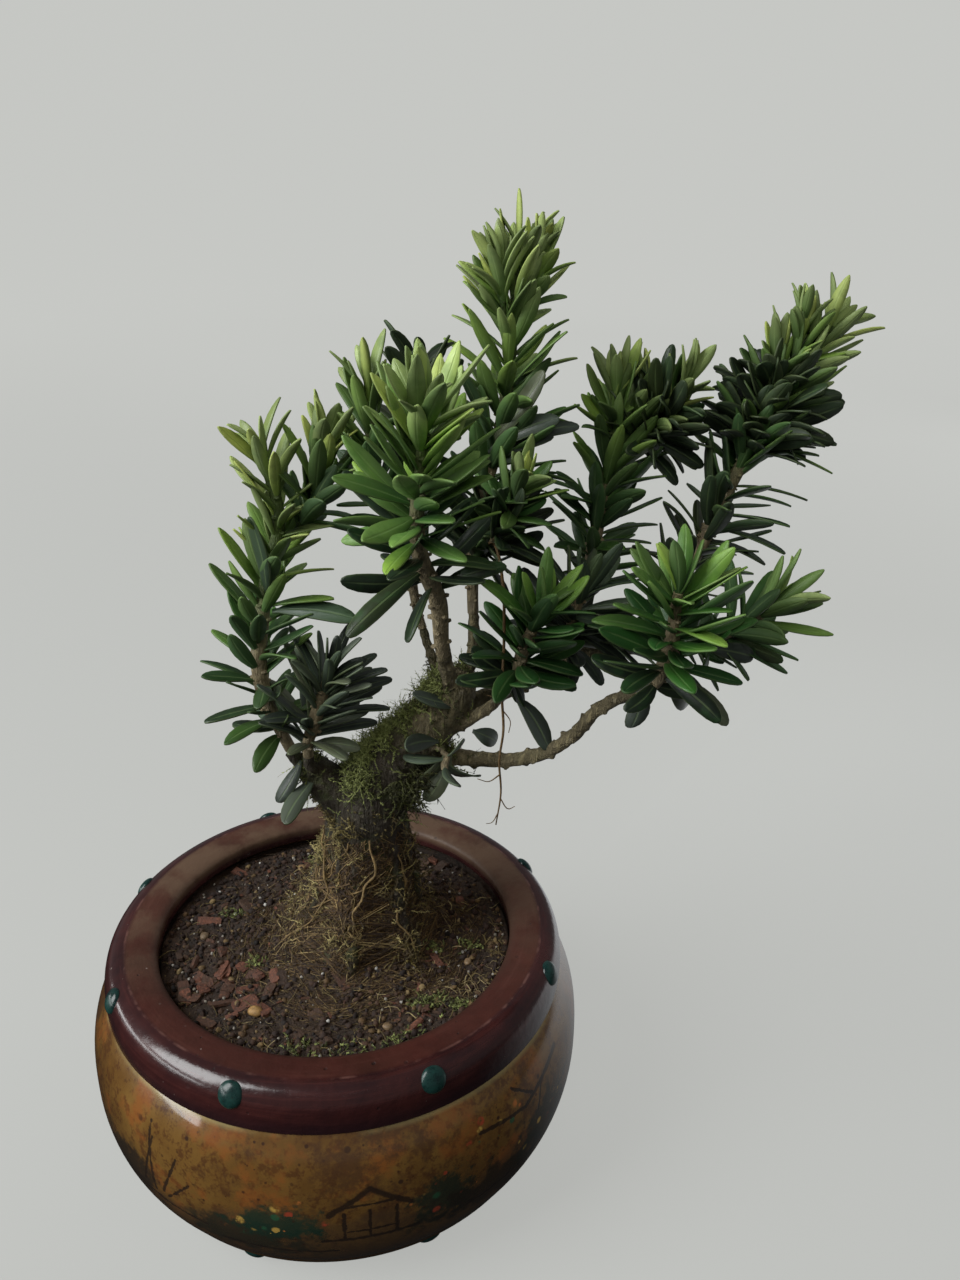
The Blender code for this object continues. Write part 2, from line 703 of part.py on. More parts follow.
def make_sprays(solids):
    """The leafy shoots, each a solid of its own that stays clear of everything made before it."""
    young = glaze("young_leaf", (0.16, 0.34, 0.045), 0.4)
    grown = glaze("grown_leaf", (0.045, 0.135, 0.030), 0.38)
    old = glaze("old_leaf", (0.012, 0.035, 0.018), 0.35)
    tones = dict.fromkeys(SPRAYS, grown)
    tones.update(dict.fromkeys(("front_top", "front_right", "front_low"), young))
    tones.update(dict.fromkeys(("left_low", "centre_low", "low_twig"), old))
    sprays = {name: connected(name, shoots) for name, shoots in SPRAYS.items()}
    stems = {name: make_stems(name, shoots, tones[name]) for name, shoots in sprays.items()}
    stem_trees = {name: [tree_of(stem) for stem in group] for name, group in stems.items()}
    obstacles = [tree_of(solid) for solid in solids]
    draw = random.Random(SEED)
    for name, shoots in sprays.items():
        others = [tree for key, group in stem_trees.items() if key != name for tree in group]
        base, *side_stems = stems[name]
        leaves = []
        for shoot in shoots:
            stem = shoot.route or shoots[0].route
            leaves += leaves_of(shoot, stem, obstacles + others, draw, tones[name])
        combine(base, side_stems + leaves, solver="MANIFOLD")
        base.data.shade_smooth()
        base.data.set_sharp_from_angle(angle=math.radians(35))
        obstacles.append(tree_of(base))


clear_scene()
pot = make_pot()
soil = make_soil()
trunk = make_trunk()
make_sprays([pot, soil, trunk])
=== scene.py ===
import math
import random

import bmesh
import bpy
from mathutils import Matrix, Vector, noise
from mathutils.bvhtree import BVHTree


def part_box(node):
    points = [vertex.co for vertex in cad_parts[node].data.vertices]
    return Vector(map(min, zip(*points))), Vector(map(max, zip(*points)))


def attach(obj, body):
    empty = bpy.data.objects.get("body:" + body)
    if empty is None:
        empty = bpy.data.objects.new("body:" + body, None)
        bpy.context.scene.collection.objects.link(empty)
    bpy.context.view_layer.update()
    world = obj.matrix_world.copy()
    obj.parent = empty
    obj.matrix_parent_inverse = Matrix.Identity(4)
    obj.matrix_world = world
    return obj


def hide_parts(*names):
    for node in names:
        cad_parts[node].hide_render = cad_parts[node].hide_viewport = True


mm = 0.001
goldenTurn = math.radians(137.5)

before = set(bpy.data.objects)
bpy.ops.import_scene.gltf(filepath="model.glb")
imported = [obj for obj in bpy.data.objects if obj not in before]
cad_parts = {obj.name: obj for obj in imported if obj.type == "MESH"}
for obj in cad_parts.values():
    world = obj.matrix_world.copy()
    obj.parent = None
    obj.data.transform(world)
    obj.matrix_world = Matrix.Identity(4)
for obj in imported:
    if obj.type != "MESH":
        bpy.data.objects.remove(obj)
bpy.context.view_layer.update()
print("frame loaded:", len(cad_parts), "solids")


# Camera, floor and light

stage = {
    "place": (0, -0.1961, 0.2091),   # the camera, from the photograph
    "pitch": 24.12,                  # degrees down
    "yaw": 9.29,                     # degrees towards +X
    "roll": 0.77,
    "lens": 29.81,                   # for a sensor 36 mm along the long side
    "floorTone": (0.090, 0.092, 0.088),
    "floorGlow": (0.490, 0.497, 0.477),
    "nearToFar": (0.86, 1.10),       # how brightly the paper glows, near the pot and far off
    "floorReach": 1.3,
    "wallBend": 1.1,
    "wallHeight": 2.2,
    "cardReach": 0.7,
    "shadeGlow": 0.01,
    "spotCentre": (0.20, 0.10, 0.001),
    "spotReach": 0.22,
    "spotGlow": 0.9,
    "roomTone": (0.95, 0.98, 1.0),
    "roomGlow": 0.13,
}


def makeCamera():
    data = bpy.data.cameras.new("camera")
    data.lens = stage["lens"]
    data.sensor_width = 36
    data.clip_start = 0.01
    camera = bpy.data.objects.new("camera", data)
    bpy.context.scene.collection.objects.link(camera)
    pitch, yaw, roll = (math.radians(stage[key]) for key in ("pitch", "yaw", "roll"))
    forward = Vector((math.sin(yaw) * math.cos(pitch), math.cos(yaw) * math.cos(pitch), -math.sin(pitch)))
    level = Vector((math.cos(yaw), -math.sin(yaw), 0))
    upright = level.cross(forward)
    right = level * math.cos(roll) + upright * math.sin(roll)
    top = upright * math.cos(roll) - level * math.sin(roll)
    turn = Matrix((right, top, -forward)).transposed().to_4x4()
    camera.matrix_world = Matrix.Translation(stage["place"]) @ turn
    bpy.context.scene.camera = camera


def makeBackdrop():
    # a round floor that curves up into a wall on every side
    reach, bend, high = stage["floorReach"], stage["wallBend"], stage["wallHeight"]
    profile = [(0, 0), (0.3, 0), (reach, 0)]
    profile += arc(profile[-1], (reach + bend, 0), (reach + bend, bend), 12)
    profile.append((reach + bend, high))
    mesh = meshOf(turned(profile, 96))
    mesh.flip_normals()
    mesh.shade_smooth()
    material = bpy.data.materials.new("backdropPaper")
    material.use_nodes = True
    shader = material.node_tree.nodes["Principled BSDF"]
    shader.inputs["Base Color"].default_value = color4(stage["floorTone"])
    shader.inputs["Roughness"].default_value = 0.9
    shader.inputs["Emission Color"].default_value = color4(stage["floorGlow"])
    tree = material.node_tree
    where = addNode(tree, "TexCoord").outputs["Object"]
    away = addNode(tree, "VectorMath", {0: where}, operation="LENGTH").outputs["Value"]
    tree.links.new(step(tree, away, 0.25, 1.6, stage["nearToFar"]), shader.inputs["Emission Strength"])
    mesh.materials.append(material)
    backdrop = bpy.data.objects.new("backdrop", mesh)
    bpy.context.scene.collection.objects.link(backdrop)
    # its paper neither lights nor shows in anything else, so the shaded sides stay dark
    backdrop.visible_diffuse = False
    backdrop.visible_glossy = False


def makeCard():
    # a card under the pot, seen only in reflections: dark near the pot, as bright as the room at its
    # border, so that it has no edge, and with a soft pale spot that shows low on the pot's right side
    shape = bmesh.new()
    bmesh.ops.create_grid(shape, x_segments=1, y_segments=1, size=0.5)
    spot, wide = stage["spotCentre"], stage["cardReach"]
    place = Matrix.Translation((0, 0, spot[2])) @ Matrix.Diagonal((2 * wide, 2 * wide, 1, 1))
    bmesh.ops.transform(shape, matrix=place, verts=shape.verts)
    material = bpy.data.materials.new("cardPaper")
    material.use_nodes = True
    tree = material.node_tree
    shader = tree.nodes["Principled BSDF"]
    where = addNode(tree, "TexCoord").outputs["Object"]
    fromSpot = addNode(tree, "VectorMath", {0: where, 1: spot}, operation="DISTANCE").outputs["Value"]
    fromPot = addNode(tree, "VectorMath", {0: where}, operation="LENGTH").outputs["Value"]
    pale = step(tree, fromSpot, 0.1 * stage["spotReach"], stage["spotReach"], (stage["spotGlow"], 0.0))
    room = step(tree, fromPot, 0.10, wide, (stage["shadeGlow"], stage["roomGlow"]))
    tree.links.new(compute(tree, "MAXIMUM", pale, room), shader.inputs["Emission Strength"])
    shader.inputs["Emission Color"].default_value = color4(stage["roomTone"])
    shader.inputs["Base Color"].default_value = (0, 0, 0, 1)
    shader.inputs["Specular IOR Level"].default_value = 0
    mesh = meshOf(shape)
    mesh.materials.append(material)
    card = bpy.data.objects.new("card", mesh)
    bpy.context.scene.collection.objects.link(card)
    card.visible_camera = False
    card.visible_diffuse = False
    card.visible_shadow = False


lights = {
    # place, size, watts and colour of each soft light, and whether it shows in glossy surfaces
    "window": ((-0.75, -0.20, 0.70), (0.6, 0.8), 13, (0.98, 1.0, 1.0), True),
    "lowWindow": ((-0.80, -0.02, 0.13), (0.9, 0.09), 2.0, (0.98, 1.0, 1.0), True),
    "right": ((0.75, 0.35, 0.30), (0.6, 0.8), 2.4, (1.0, 1.0, 0.98), False),
    "back": ((0.30, 0.95, 0.62), (0.9, 0.6), 2.6, (1.0, 1.0, 1.0), False),
    "front": ((-0.10, -0.9, 0.95), (0.6, 0.4), 3.6, (1.0, 1.0, 1.0), False),
}


def makeLights():
    target = Vector((0.02, 0, 0.09))
    for name, (place, size, watts, color, shown) in lights.items():
        data = bpy.data.lights.new(name, "AREA")
        data.shape = "RECTANGLE"
        data.size, data.size_y = size
        data.energy = watts
        data.color = color
        lamp = bpy.data.objects.new(name, data)
        bpy.context.scene.collection.objects.link(lamp)
        lamp.location = place
        lamp.visible_glossy = shown
        lamp.rotation_euler = (target - Vector(place)).to_track_quat("-Z", "Y").to_euler()
    world = bpy.data.worlds.new("room")
    world.use_nodes = True
    world.node_tree.nodes["Background"].inputs["Color"].default_value = color4(stage["roomTone"])
    world.node_tree.nodes["Background"].inputs["Strength"].default_value = stage["roomGlow"]
    bpy.context.scene.world = world
    bpy.context.scene.view_settings.view_transform = "Standard"


# Shader nodes

def addNode(tree, kind, inputs=None, **settings):
    made = tree.nodes.new("ShaderNode" + kind)
    for name, value in settings.items():
        setattr(made, name, value)
    for key, value in (inputs or {}).items():
        if isinstance(value, bpy.types.NodeSocket):
            tree.links.new(value, made.inputs[key])
        else:
            made.inputs[key].default_value = value
    return made


def compute(tree, operation, *values, clamp=False):
    return addNode(tree, "Math", dict(enumerate(values)), operation=operation, use_clamp=clamp).outputs[0]


def step(tree, value, low, high, out=(0.0, 1.0)):
    # a soft step: the first of out below low, the second above high
    limits = {"Value": value, "From Min": low, "From Max": high, "To Min": out[0], "To Max": out[1]}
    return addNode(tree, "MapRange", limits, interpolation_type="SMOOTHSTEP").outputs[0]


def color4(value):
    return (*value, 1.0) if isinstance(value, tuple) and len(value) == 3 else value


def mixColor(tree, factor, first, second, blend="MIX"):
    inputs = {0: factor, 6: color4(first), 7: color4(second)}
    return addNode(tree, "Mix", inputs, data_type="RGBA", blend_type=blend).outputs[2]


def noiseValue(tree, where, scale, detail=3.0, rough=0.55):
    inputs = {"Vector": where, "Scale": scale, "Detail": detail, "Roughness": rough}
    return addNode(tree, "TexNoise", inputs).outputs[0]


def addBump(tree, shader, height, distance, strength=1.0):
    inputs = {"Height": height, "Distance": distance, "Strength": strength}
    tree.links.new(addNode(tree, "Bump", inputs).outputs[0], shader.inputs["Normal"])


def newMaterial(name, roughness=0.5, **sockets):
    material = bpy.data.materials.new(name)
    material.use_nodes = True
    tree = material.node_tree
    shader = tree.nodes["Principled BSDF"]
    shader.inputs["Roughness"].default_value = roughness
    for title, value in sockets.items():
        shader.inputs[title.replace("_", " ")].default_value = value
    where = addNode(tree, "TexCoord").outputs["Object"]
    return material, tree, shader, where


def newGroup(name, inputs, outputs):
    tree = bpy.data.node_groups.new(name, "ShaderNodeTree")
    for title, (kind, value) in inputs.items():
        socket = tree.interface.new_socket(title, in_out="INPUT", socket_type="NodeSocket" + kind)
        if value is not None:
            socket.default_value = value
    for title, kind in outputs.items():
        tree.interface.new_socket(title, in_out="OUTPUT", socket_type="NodeSocket" + kind)
    return tree, tree.nodes.new("NodeGroupInput").outputs, tree.nodes.new("NodeGroupOutput").inputs


def useGroup(tree, group, inputs):
    made = tree.nodes.new("ShaderNodeGroup")
    made.node_tree = group
    for key, value in inputs.items():
        if isinstance(value, bpy.types.NodeSocket):
            tree.links.new(value, made.inputs[key])
        else:
            made.inputs[key].default_value = value
    return made.outputs


def makeMottleGroup():
    # broad and fine unevenness of a surface, from 0 to 1
    tree, given, result = newGroup(
        "mottle",
        {"Vector": ("Vector", None), "Scale": ("Float", 100.0), "Contrast": ("Float", 2.0)},
        {"Value": "Float"},
    )
    broad = noiseValue(tree, given["Vector"], given["Scale"], 2.0)
    fine = noiseValue(tree, given["Vector"], compute(tree, "MULTIPLY", given["Scale"], 4.3), 3.0)
    mixed = compute(tree, "ADD", compute(tree, "MULTIPLY", broad, 0.65), compute(tree, "MULTIPLY", fine, 0.35))
    apart = compute(tree, "MULTIPLY", compute(tree, "SUBTRACT", mixed, 0.5), given["Contrast"])
    tree.links.new(compute(tree, "ADD", apart, 0.5, clamp=True), result["Value"])
    return tree


def makeSpotGroup():
    # round spots of mixed sizes
    tree, given, result = newGroup(
        "spots",
        {"Vector": ("Vector", None), "Scale": ("Float", 500.0), "Size": ("Float", 0.3)},
        {"Mask": "Float", "Random": "Float"},
    )
    cells = addNode(tree, "TexVoronoi", {"Vector": given["Vector"], "Scale": given["Scale"]})
    random0 = addNode(tree, "SeparateColor", {"Color": cells.outputs["Color"]}).outputs
    reach = compute(tree, "MULTIPLY", given["Size"], compute(tree, "POWER", random0[0], 2.0))
    inner = compute(tree, "MULTIPLY", reach, 0.55)
    limits = {"Value": cells.outputs["Distance"], "From Min": inner, "From Max": reach, "To Min": 1.0, "To Max": 0.0}
    mask = addNode(tree, "MapRange", limits, interpolation_type="SMOOTHSTEP").outputs[0]
    tree.links.new(compute(tree, "MULTIPLY", mask, compute(tree, "GREATER_THAN", reach, 0.01)), result["Mask"])
    tree.links.new(random0[1], result["Random"])
    return tree


def makeFibreGroup():
    # long fibres that run up and down, as a height from 0 to 1
    tree, given, result = newGroup(
        "fibres",
        {"Vector": ("Vector", None), "Scale": ("Float", 800.0), "Stretch": ("Float", 6.0)},
        {"Height": "Float"},
    )
    squeeze = compute(tree, "DIVIDE", 1.0, given["Stretch"])
    flat = addNode(tree, "CombineXYZ", {0: 1.0, 1: 1.0, 2: squeeze}).outputs[0]
    drawn = addNode(tree, "VectorMath", {0: given["Vector"], 1: flat}, operation="MULTIPLY").outputs[0]
    coarse = noiseValue(tree, drawn, given["Scale"], 4.0, 0.6)
    ridged = compute(tree, "ABSOLUTE", compute(tree, "SUBTRACT", coarse, 0.5))
    tree.links.new(step(tree, ridged, 0.0, 0.16, (1.0, 0.0)), result["Height"])
    return tree


def makeRoundGroup():
    # azimuth from the front, distance from the axis and height, of a point on a turned surface
    tree, given, result = newGroup(
        "roundAbout", {"Vector": ("Vector", None)}, {"Azimuth": "Float", "Radius": "Float", "Height": "Float"}
    )
    parts = addNode(tree, "SeparateXYZ", {0: given["Vector"]}).outputs
    tree.links.new(
        compute(tree, "ARCTAN2", parts[0], compute(tree, "MULTIPLY", parts[1], -1.0)), result["Azimuth"]
    )
    flat = addNode(tree, "CombineXYZ", {0: parts[0], 1: parts[1], 2: 0.0}).outputs[0]
    tree.links.new(addNode(tree, "VectorMath", {0: flat}, operation="LENGTH").outputs["Value"], result["Radius"])
    tree.links.new(parts[2], result["Height"])
    return tree


mottleGroup = makeMottleGroup()
spotGroup = makeSpotGroup()
fibreGroup = makeFibreGroup()
roundGroup = makeRoundGroup()


# Shapes

def finishPiece(name, mesh, materials, slot, replaces=(), crease=None):
    mesh.name = name
    mesh.materials.clear()
    for material in materials:
        mesh.materials.append(material)
    mesh.shade_smooth()
    if crease:
        mesh.set_sharp_from_angle(angle=math.radians(crease))
    piece = bpy.data.objects.new(name, mesh)
    bpy.context.scene.collection.objects.link(piece)
    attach(piece, "root")
    if replaces:
        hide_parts(*replaces)
    print("   ", name, len(mesh.polygons), "faces")
    return piece


def meshOf(shape, name="part"):
    mesh = bpy.data.meshes.new(name)
    shape.to_mesh(mesh)
    shape.free()
    return mesh


def evaluated(thing):
    graph = bpy.context.evaluated_depsgraph_get()
    mesh = bpy.data.meshes.new_from_object(thing.evaluated_get(graph))
    bpy.data.objects.remove(thing)
    return mesh


def stamp(shape, template, place, **marks):
    # adds a copy of the template at its place, with its marks as attributes of every vertex
    copy = template.copy()
    copy.transform(place)
    for name, value in marks.items():
        copy.attributes[name].data.foreach_set("value", [value] * len(copy.vertices))
    shape.from_mesh(copy)
    bpy.data.meshes.remove(copy)


def markMesh(mesh, *names):
    for name in names:
        if name not in mesh.attributes:
            mesh.attributes.new(name, "FLOAT", "POINT")


def smoothRoute(points, steps):
    # the curve through (x, y, z, radius) points in millimetres, as (Vector, radius) in metres
    rows = [Vector(point) * mm for point in points]
    spans = [(b.to_3d() - a.to_3d()).length for a, b in zip(rows, rows[1:])]
    slopes = [(b - a) / span for a, b, span in zip(rows, rows[1:], spans)]
    tangents = [slopes[0]]
    for index in range(1, len(slopes)):
        before, after = spans[index - 1], spans[index]
        tangents.append((slopes[index - 1] * after + slopes[index] * before) / (before + after))
    tangents.append(slopes[-1])
    route = []
    for index, span in enumerate(spans):
        for number in range(steps):
            t = number / steps
            route.append(
                rows[index] * (2 * t ** 3 - 3 * t ** 2 + 1)
                + tangents[index] * span * (t ** 3 - 2 * t ** 2 + t)
                + rows[index + 1] * (3 * t ** 2 - 2 * t ** 3)
                + tangents[index + 1] * span * (t ** 3 - t ** 2)
            )
    route.append(rows[-1])
    return [(row.to_3d(), row.w) for row in route]


def directions(route):
    last = len(route) - 1
    return [(route[min(i + 1, last)][0] - route[max(i - 1, 0)][0]).normalized() for i in range(last + 1)]


def pointAt(route, share):
    lengths = [0.0]
    for (a, _), (b, _) in zip(route, route[1:]):
        lengths.append(lengths[-1] + (b - a).length)
    target = share * lengths[-1]
    ways = directions(route)
    for index in range(1, len(route)):
        if lengths[index] >= target or index == len(route) - 1:
            part = (target - lengths[index - 1]) / (lengths[index] - lengths[index - 1])
            (a, low), (b, high) = route[index - 1], route[index]
            return a.lerp(b, part), low + (high - low) * part, ways[index - 1].lerp(ways[index], part).normalized()


def tubes(routes, roundness):
    # a mesh of round tubes with closed ends, one along each route
    data = bpy.data.curves.new("tubes", "CURVE")
    data.dimensions = "3D"
    data.bevel_depth = mm
    data.bevel_resolution = roundness
    data.use_fill_caps = True
    for route in routes:
        line = data.splines.new("POLY")
        line.points.add(len(route) - 1)
        for point, (place, radius) in zip(line.points, route):
            point.co = (*place, 1)
            point.radius = radius / mm
    thing = bpy.data.objects.new("tubes", data)
    bpy.context.scene.collection.objects.link(thing)
    mesh = evaluated(thing)
    bpy.data.curves.remove(data)
    return mesh


def across(direction, hint):
    return (hint - direction * hint.dot(direction)).normalized()


def turned(profile, segments):
    # a body spun from (radius, height) points that start and end on the axis
    shape = bmesh.new()
    verts = [shape.verts.new((radius, 0, height)) for radius, height in profile]
    edges = [shape.edges.new(pair) for pair in zip(verts, verts[1:])]
    bmesh.ops.spin(
        shape, geom=verts + edges, cent=(0, 0, 0), axis=(0, 0, 1), angle=math.tau, steps=segments, use_merge=True
    )
    bmesh.ops.remove_doubles(shape, verts=shape.verts, dist=0.001 * mm)
    bmesh.ops.recalc_face_normals(shape, faces=shape.faces)
    return shape


def arc(start, middle, end, count):
    points = []
    for number in range(1, count + 1):
        t = number / count
        low, mid, high = (1 - t) ** 2, 2 * t * (1 - t), t * t
        points.append(tuple(low * a + mid * b + high * c for a, b, c in zip(start, middle, end)))
    return points


makeCamera()
makeBackdrop()
makeCard()
makeLights()
print("camera, backdrop and lights placed")


# The pot

pot = {
    "bellyRadius": 55 * mm,
    "bellyHeight": 24.8 * mm,
    "baseRadius": 37.2 * mm,
    "height": 52.5 * mm,
    "ridgeRadius": 46.1 * mm,
    "openingRadius": 39.3 * mm,
    "bandRadius": 50.9 * mm,
    "bandEdge": 43.6 * mm,
    "footBand": 6.4 * mm,
    "bandStep": 0.5 * mm,
    "edgeRound": 0.4 * mm,
    "floor": 5 * mm,
    "floorRadius": 30 * mm,
    "wall": 6.4 * mm,
    "lipDrop": 1.8 * mm,
    "neckDrop": 4.2 * mm,
    "shoulder": 42 * mm,
    "drainRadius": 2.5 * mm,
    "drainCircle": 13 * mm,
    "drains": 3,
    "segments": 160,
    "studs": 8,
    "studRadius": 2.7 * mm,
    "studRise": 0.52,
    "studTurn": math.radians(19.5),
    # radius, height and tilt from upright of each ring of studs
    "studRings": ((49.6 * mm, 50.0 * mm, math.radians(62)), (47.2 * mm, 4.2 * mm, math.radians(112))),
}


def bellyRadius(height):
    if height < pot["bellyHeight"]:
        drop = (pot["bellyHeight"] - height) / pot["bellyHeight"]
        return pot["bellyRadius"] - (pot["bellyRadius"] - pot["baseRadius"]) * (1 - math.sqrt(1 - drop * drop))
    rise = (height - pot["bellyHeight"]) / (pot["bandEdge"] - pot["bellyHeight"])
    return pot["bellyRadius"] - (pot["bellyRadius"] - pot["bandRadius"] + pot["bandStep"]) * rise ** 3


def outerProfile():
    points = [(0, 0), (pot["baseRadius"] - 1.2 * mm, 0), (pot["baseRadius"], 0.3 * mm)]
    for share in (0.12, 0.3, 0.5, 0.75, 0.95):
        height = pot["footBand"] * share
        points.append((bellyRadius(height) + pot["bandStep"], height))
    start = pot["footBand"] + pot["edgeRound"]
    span = pot["bandEdge"] - pot["edgeRound"] - start
    for number in range(29):
        height = start + span * number / 28
        points.append((bellyRadius(height), height))
    foot = (pot["bandRadius"], pot["bandEdge"])
    points += [(pot["bandRadius"] - 0.12 * mm, pot["bandEdge"] - 0.05 * mm), foot]
    corner = (pot["bandRadius"] + pot["edgeRound"], pot["height"])
    points += arc(foot, corner, (pot["ridgeRadius"], pot["height"]), 16)
    return points


def wallProfile(offset, count=8):
    lip = pot["openingRadius"] - offset
    floor = pot["floor"] + offset
    wide = pot["bellyRadius"] - pot["wall"] - offset
    points = [(lip, pot["height"] - pot["lipDrop"]), (lip, pot["height"] - pot["neckDrop"])]
    points += arc(points[-1], (wide, pot["shoulder"]), (wide, pot["bellyHeight"]), count)
    points += arc(points[-1], (wide, floor), (pot["floorRadius"], floor), count)
    points.append((0, floor))
    return points


def burgundyGlaze():
    material, tree, shader, where = newMaterial("burgundyGlaze", 0.3, Coat_Roughness=0.19, Specular_IOR_Level=0.2)
    around = useGroup(tree, roundGroup, {"Vector": where})
    onLip = step(tree, around["Radius"], pot["ridgeRadius"] - 0.7 * mm, pot["ridgeRadius"] + 0.5 * mm, (1.0, 0.0))
    high = step(tree, around["Height"], 49 * mm, 51 * mm)
    onLip = compute(tree, "MULTIPLY", onLip, high)
    cloud = useGroup(tree, mottleGroup, {"Vector": where, "Scale": 70.0, "Contrast": 2.6})["Value"]
    # rings left by the brush and the wheel
    turnedLine = addNode(
        tree, "CombineXYZ", {0: around["Radius"], 1: around["Height"], 2: compute(tree, "MULTIPLY", around["Azimuth"], 0.003)}
    ).outputs[0]
    rings = noiseValue(tree, turnedLine, 900.0, 3.0, 0.6)
    shoulder = mixColor(tree, cloud, (0.013, 0.005, 0.006), (0.040, 0.010, 0.009))
    shoulder = mixColor(tree, step(tree, rings, 0.45, 0.75, (0.0, 0.4)), shoulder, (0.066, 0.019, 0.016))
    # the band darker towards its lower edge
    dark = step(tree, around["Height"], pot["bandEdge"], 48 * mm, (0.55, 0.0))
    shoulder = mixColor(tree, dark, shoulder, (0.013, 0.007, 0.010))
    lip = mixColor(tree, cloud, (0.027, 0.007, 0.005), (0.056, 0.013, 0.009))
    lip = mixColor(tree, step(tree, rings, 0.5, 0.8, (0.0, 0.4)), lip, (0.082, 0.029, 0.022))
    inner = step(tree, around["Radius"], 39.0 * mm, 41.5 * mm, (0.7, 0.0))
    lip = mixColor(tree, inner, lip, (0.024, 0.011, 0.008))
    # dull dusty brown where the rim was handled and splashed with soil
    dull = step(tree, noiseValue(tree, where, 60.0, 5.0, 0.65), 0.34, 0.56, (0.25, 0.95))
    behind = step(tree, compute(tree, "ABSOLUTE", around["Azimuth"]), 0.8, 2.2, (0.06, 1.0))
    dull = compute(tree, "MULTIPLY", dull, behind)
    lip = mixColor(tree, dull, lip, (0.098, 0.060, 0.038))
    color = mixColor(tree, onLip, shoulder, lip)
    # a painted highlight: a pale broken line along the ridge
    ridge = compute(tree, "ABSOLUTE", compute(tree, "SUBTRACT", around["Radius"], pot["ridgeRadius"] + 0.1 * mm))
    ridge = compute(tree, "MULTIPLY", step(tree, ridge, 0.0, 0.45 * mm, (1.0, 0.0)), high)
    ridgeHighlight = compute(tree, "MULTIPLY", ridge, step(tree, noiseValue(tree, where, 260.0), 0.46, 0.66, (0.0, 0.55)))
    color = mixColor(tree, ridgeHighlight, color, (0.15, 0.070, 0.055))
    dust = useGroup(tree, spotGroup, {"Vector": where, "Scale": 520.0, "Size": 0.16})["Mask"]
    dusty = compute(tree, "MULTIPLY", dust, step(tree, noiseValue(tree, where, 45.0), 0.5, 0.7, (0.0, 0.55)))
    color = mixColor(tree, dusty, color, (0.33, 0.27, 0.24))
    pits = useGroup(tree, spotGroup, {"Vector": where, "Scale": 340.0, "Size": 0.22})["Mask"]
    pits = compute(tree, "MULTIPLY", pits, step(tree, noiseValue(tree, where, 55.0), 0.42, 0.6))
    color = mixColor(tree, compute(tree, "MULTIPLY", pits, 0.7), color, (0.012, 0.008, 0.008))
    tree.links.new(color, shader.inputs["Base Color"])
    gloss = compute(tree, "ADD", compute(tree, "MULTIPLY", cloud, 0.16), 0.14)
    matte = compute(tree, "ADD", compute(tree, "MULTIPLY", cloud, 0.14), 0.46)
    rough = addNode(tree, "Mix", {0: onLip, 2: gloss, 3: matte}, data_type="FLOAT").outputs[0]
    tree.links.new(compute(tree, "ADD", rough, compute(tree, "MULTIPLY", dusty, 0.4)), shader.inputs["Roughness"])
    tree.links.new(step(tree, onLip, 0.0, 1.0, (0.75, 0.03)), shader.inputs["Coat Weight"])
    waves = compute(tree, "ADD", noiseValue(tree, where, 120.0, 2.0), compute(tree, "MULTIPLY", rings, 0.22))
    waves = compute(tree, "ADD", waves, compute(tree, "MULTIPLY", noiseValue(tree, where, 560.0, 2.0), 0.62))
    waves = compute(tree, "SUBTRACT", waves, compute(tree, "MULTIPLY", pits, 0.6))
    addBump(tree, shader, waves, 0.34 * mm, 0.75)
    return material


def lineMask(tree, flat, start, end, width, ragged):
    # a brush line between two points of the painted band, in millimetres
    ax, ay = start
    bx, by = end
    run = Vector((bx - ax, by - ay, 0))
    away = addNode(tree, "VectorMath", {0: flat, 1: (ax, ay, 0)}, operation="SUBTRACT").outputs[0]
    along = addNode(tree, "VectorMath", {0: away, 1: run / run.length_squared}, operation="DOT_PRODUCT").outputs["Value"]
    along = compute(tree, "ADD", along, 0.0, clamp=True)
    foot = addNode(tree, "VectorMath", {0: run, "Scale": along}, operation="SCALE").outputs[0]
    gap = addNode(tree, "VectorMath", {0: away, 1: foot}, operation="DISTANCE").outputs["Value"]
    gap = compute(tree, "ADD", gap, ragged)
    return step(tree, gap, width * 0.6, width * 1.5, (1.0, 0.0))


def blotMask(tree, flat, centre, size, ragged, edge=0.35):
    # a blot with a ragged edge round a point of the painted band
    away = addNode(tree, "VectorMath", {0: flat, 1: (*centre, 0)}, operation="SUBTRACT").outputs[0]
    shrunk = addNode(tree, "VectorMath", {0: away, 1: (1 / size[0], 1 / size[1], 0)}, operation="MULTIPLY").outputs[0]
    far = addNode(tree, "VectorMath", {0: shrunk}, operation="LENGTH").outputs["Value"]
    return step(tree, compute(tree, "ADD", far, ragged), 1 - edge, 1 + edge, (1.0, 0.0))


